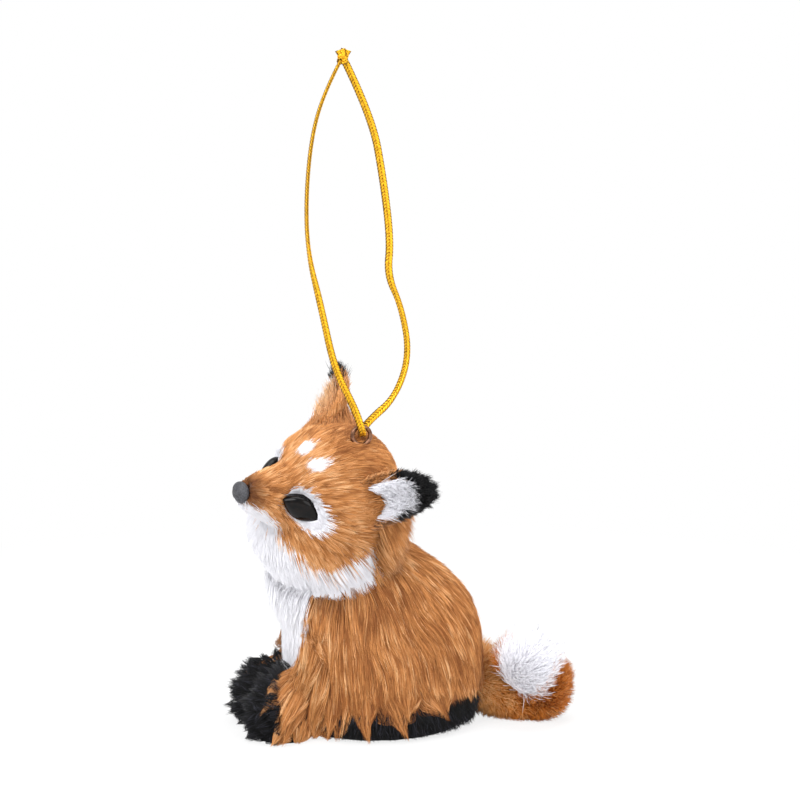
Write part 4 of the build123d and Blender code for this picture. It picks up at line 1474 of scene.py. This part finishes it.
def make_stage(settings):
    """Pale floor, soft lamps and the camera at the photograph's angle."""
    make_camera(settings)
    make_lamps(settings)
    make_room(settings)
    corners = np.array(((-1, -1, 0), (1, -1, 0), (1, 1, 0), (-1, 1, 0))) * FLOOR_HALF
    floor = new_object("floor", mesh_of("floor", corners, np.array(((0, 1, 2), (0, 2, 3)))))
    floor.data.materials.append(floor_material())
    bpy.context.scene.view_settings.view_transform = "Standard"


# Settings, operators and panel

class FoxCoatSettings(bpy.types.PropertyGroup):
    """Lengths and numbers of the fur."""

    head_hairs: IntProperty(name="Head hairs", description="Hairs scattered over the head", default=80_000)
    body_hairs: IntProperty(name="Body hairs", description="Hairs scattered over the body", default=94_000)
    nape_hairs: IntProperty(name="Nape hairs", description="Hairs scattered for the nape", default=60_000)
    ear_root_hairs: IntProperty(name="Ear root hairs", description="Hairs scattered for the root of each ear",
                                default=42_000)
    fringe_hairs: IntProperty(name="Fringe hairs", description="Hairs scattered for the black fringe",
                              default=40_000)
    paw_hairs: IntProperty(name="Paw hairs", description="Hairs scattered over each front paw", default=9_000)
    tail_hairs: IntProperty(name="Tail hairs", description="Hairs scattered over the tail", default=15_000)
    brush_hairs: IntProperty(name="Brush hairs", description="Hairs scattered over the tail's end",
                             default=12_000)
    head_reach: FloatProperty(name="Crown hair", description="Length of the hair on the crown",
                              default=0.0044, unit="LENGTH")
    nape_reach: FloatProperty(name="Nape hair", description="Length of the hair that falls over the neck",
                              default=0.0105, unit="LENGTH")
    body_reach: FloatProperty(name="Flank hair", description="Length of the long coat", default=0.0115,
                              unit="LENGTH")
    fringe_reach: FloatProperty(name="Base fringe", description="Length of the black fur round the base",
                                default=0.0034, unit="LENGTH")
    paw_reach: FloatProperty(name="Paw hair", description="Length of the fur on the front paws",
                             default=0.0048, unit="LENGTH")
    tail_reach: FloatProperty(name="Tail hair", description="Length of the fuzz on the tail",
                              default=0.0034, unit="LENGTH")
    hair_width: FloatProperty(name="Hair width", description="Width of one modelled hair", default=0.00013,
                              unit="LENGTH")


class FoxTrimSettings(bpy.types.PropertyGroup):
    """Nose, ring and cord."""

    nose: FloatVectorProperty(name="Nose", description="Colour of the nose", subtype="COLOR", size=3,
                              default=(0.045, 0.045, 0.052))
    bronze: FloatVectorProperty(name="Bronze", description="Colour of the screw eye", subtype="COLOR", size=3,
                                default=(0.20, 0.10, 0.06))
    gold: FloatVectorProperty(name="Gold", description="Bright tone of the cord", subtype="COLOR", size=3,
                              default=(0.86, 0.47, 0.02))
    # The gold shadow is the colour of the braid's painted shade
    gold_shadow: FloatVectorProperty(name="Gold shadow", description="Dark tone of the cord",
                                     subtype="COLOR", size=3, default=(0.09, 0.035, 0.004))
    cord_width: FloatProperty(name="Cord width", description="Width of the flat braid", default=0.0018,
                              unit="LENGTH")
    cord_thickness: FloatProperty(name="Cord thickness", description="Thickness of the flat braid",
                                  default=0.0008, unit="LENGTH")
    pitch: FloatProperty(name="Braid pitch", description="Length in which a yarn crosses and comes back",
                         default=0.006, unit="LENGTH")
    strands: IntProperty(name="Yarns", description="Yarns in the braid", default=8)


class FoxStageSettings(bpy.types.PropertyGroup):
    """Camera and lamps."""

    lens: FloatProperty(name="Lens", description="Focal length", default=135.0, unit="CAMERA")
    distance: FloatProperty(name="Distance", description="From the camera to the fox", default=0.705,
                            unit="LENGTH")
    key: FloatProperty(name="Key", description="Power of the key lamp", default=9.0, unit="POWER")
    fill: FloatProperty(name="Fill", description="Power of the fill lamp", default=6.0, unit="POWER")
    top: FloatProperty(name="Top", description="Power of the top lamp", default=6.0, unit="POWER")
    world: FloatProperty(name="Room", description="Strength of the room's light", default=0.65,
                         subtype="FACTOR")


class FoxHead(bpy.types.Operator):
    """Grow the fur of the head"""

    bl_idname, bl_label = "fox.head", "Head fur"

    def execute(self, context):
        coat = context.scene.fox_coat
        skin = skin_of("head")
        root, tip = head_tone(to_head(skin.spots), skin.spots, 0.0)
        skin_piece("head_skin", skin, (root + tip) / 2, HEAD_NODES)
        grow_head(coat.head_hairs, coat.head_reach / MM, coat.hair_width / MM)
        grow_nape(coat.nape_hairs, coat.nape_reach / MM, coat.hair_width / MM)
        for side, name, reach, spread, front in ((1, "left", 5.0, 7.5, 0.45), (-1, "right", 10.0, 9.5, 0.0)):
            grow_ear_roots(side, name, coat.ear_root_hairs, reach, spread, front, coat.hair_width / MM)
        return {"FINISHED"}


class FoxBody(bpy.types.Operator):
    """Grow the long coat and the bib"""

    bl_idname, bl_label = "fox.body", "Body fur"

    def execute(self, context):
        coat = context.scene.fox_coat
        skin = skin_of("body")
        white = body_white(skin.spots)[:, None]
        dark = smooth(skin.spots[:, 2], 9.0, 6.0)[:, None]
        colours = (ORANGE_DEEP * (1 - white) + WHITE_DEEP * white) * (1 - dark) + BLACK_DEEP * dark
        skin_piece("body_skin", skin, colours, BODY_NODES)
        grow_body(coat.body_hairs, coat.body_reach / MM, coat.hair_width / MM)
        return {"FINISHED"}


class FoxFringe(bpy.types.Operator):
    """Grow the black fur round the base and on the front paws"""

    bl_idname, bl_label = "fox.fringe", "Base and paws"

    def execute(self, context):
        coat = context.scene.fox_coat
        grow_fringe(coat.fringe_hairs, coat.fringe_reach / MM, coat.hair_width / MM)
        for side, name in ((1, "left"), (-1, "right")):
            grow_paw(side, name, coat.paw_hairs, coat.paw_reach / MM, coat.hair_width / MM)
        return {"FINISHED"}


class FoxTail(bpy.types.Operator):
    """Grow the rust fuzz of the tail and its white tip"""

    bl_idname, bl_label = "fox.tail", "Tail"

    def execute(self, context):
        coat = context.scene.fox_coat
        grow_tail(coat.tail_hairs, coat.brush_hairs, coat.tail_reach / MM, coat.hair_width / MM)
        return {"FINISHED"}


class FoxEars(bpy.types.Operator):
    """Grow the fur of both ears"""

    bl_idname, bl_label = "fox.ears", "Ears"

    def execute(self, context):
        for side, name, dark_from, dark_tip, white_from in (
                (1, "left", 0.12, 0.68, -1.3), (-1, "right", 0.85, 0.76, -0.2)):
            rng = np.random.default_rng(20 + side)
            ear = Ear(side, name, dark_from, dark_tip, white_from)
            cover_ear(ear)
            for grow in (grow_ear_back, grow_ear_edge, grow_ear_inside):
                grow(ear, rng, context.scene.fox_coat.hair_width / MM)
        return {"FINISHED"}


class FoxFace(bpy.types.Operator):
    """Shape the nose and polish the eyes"""

    bl_idname, bl_label = "fox.face", "Nose and eyes"

    def execute(self, context):
        make_nose(np.array(context.scene.fox_trim.nose))
        for side, name in ((1, "left"), (-1, "right")):
            make_eye(side, name)
        return {"FINISHED"}


class FoxScrewEye(bpy.types.Operator):
    """Plate the screw eye"""

    bl_idname, bl_label = "fox.screw_eye", "Screw eye"

    def execute(self, context):
        finish_screw_eye(np.array(context.scene.fox_trim.bronze))
        return {"FINISHED"}


class FoxCord(bpy.types.Operator):
    """Braid the cord loop and its knot"""

    bl_idname, bl_label = "fox.cord", "Cord loop"

    def execute(self, context):
        make_cord(context.scene.fox_trim)
        return {"FINISHED"}


class FoxCores(bpy.types.Operator):
    """Finish the cores, the dowel, the board and the tail wire"""

    bl_idname, bl_label = "fox.cores", "Hidden cores"

    def execute(self, context):
        finish_cores()
        return {"FINISHED"}


class FoxStage(bpy.types.Operator):
    """Set up the floor, the lamps and the camera"""

    bl_idname, bl_label = "fox.stage", "Studio"

    def execute(self, context):
        make_stage(context.scene.fox_stage)
        return {"FINISHED"}


OPERATORS = (FoxHead, FoxBody, FoxFringe, FoxTail, FoxEars, FoxFace, FoxScrewEye, FoxCord, FoxCores, FoxStage)
GROUPS = {"fox_coat": FoxCoatSettings, "fox_trim": FoxTrimSettings, "fox_stage": FoxStageSettings}


class FoxPanel(bpy.types.Panel):
    """Sizes, colours and steps of the fox ornament"""

    bl_idname, bl_label = "FOX_PT_panel", "Fox Ornament"
    bl_space_type, bl_region_type, bl_category = "VIEW_3D", "UI", "Fox"

    def draw(self, context):
        for name, group in GROUPS.items():
            box = self.layout.box()
            for item in group.__annotations__:
                box.prop(getattr(context.scene, name), item)
        for operator in OPERATORS:
            self.layout.operator(operator.bl_idname)


def register():
    """Registers the settings, operators and panel."""
    for item in (*GROUPS.values(), *OPERATORS, FoxPanel):
        bpy.utils.register_class(item)
    for name, group in GROUPS.items():
        setattr(bpy.types.Scene, name, PointerProperty(type=group))


def unregister():
    """Removes the settings, operators and panel."""
    for name in GROUPS:
        delattr(bpy.types.Scene, name)
    for item in reversed((*GROUPS.values(), *OPERATORS, FoxPanel)):
        bpy.utils.unregister_class(item)


def main():
    """Dresses the fox."""
    register()
    for operator in OPERATORS:
        group, name = operator.bl_idname.split(".")
        getattr(getattr(bpy.ops, group), name)()


if __name__ == "__main__":
    main()
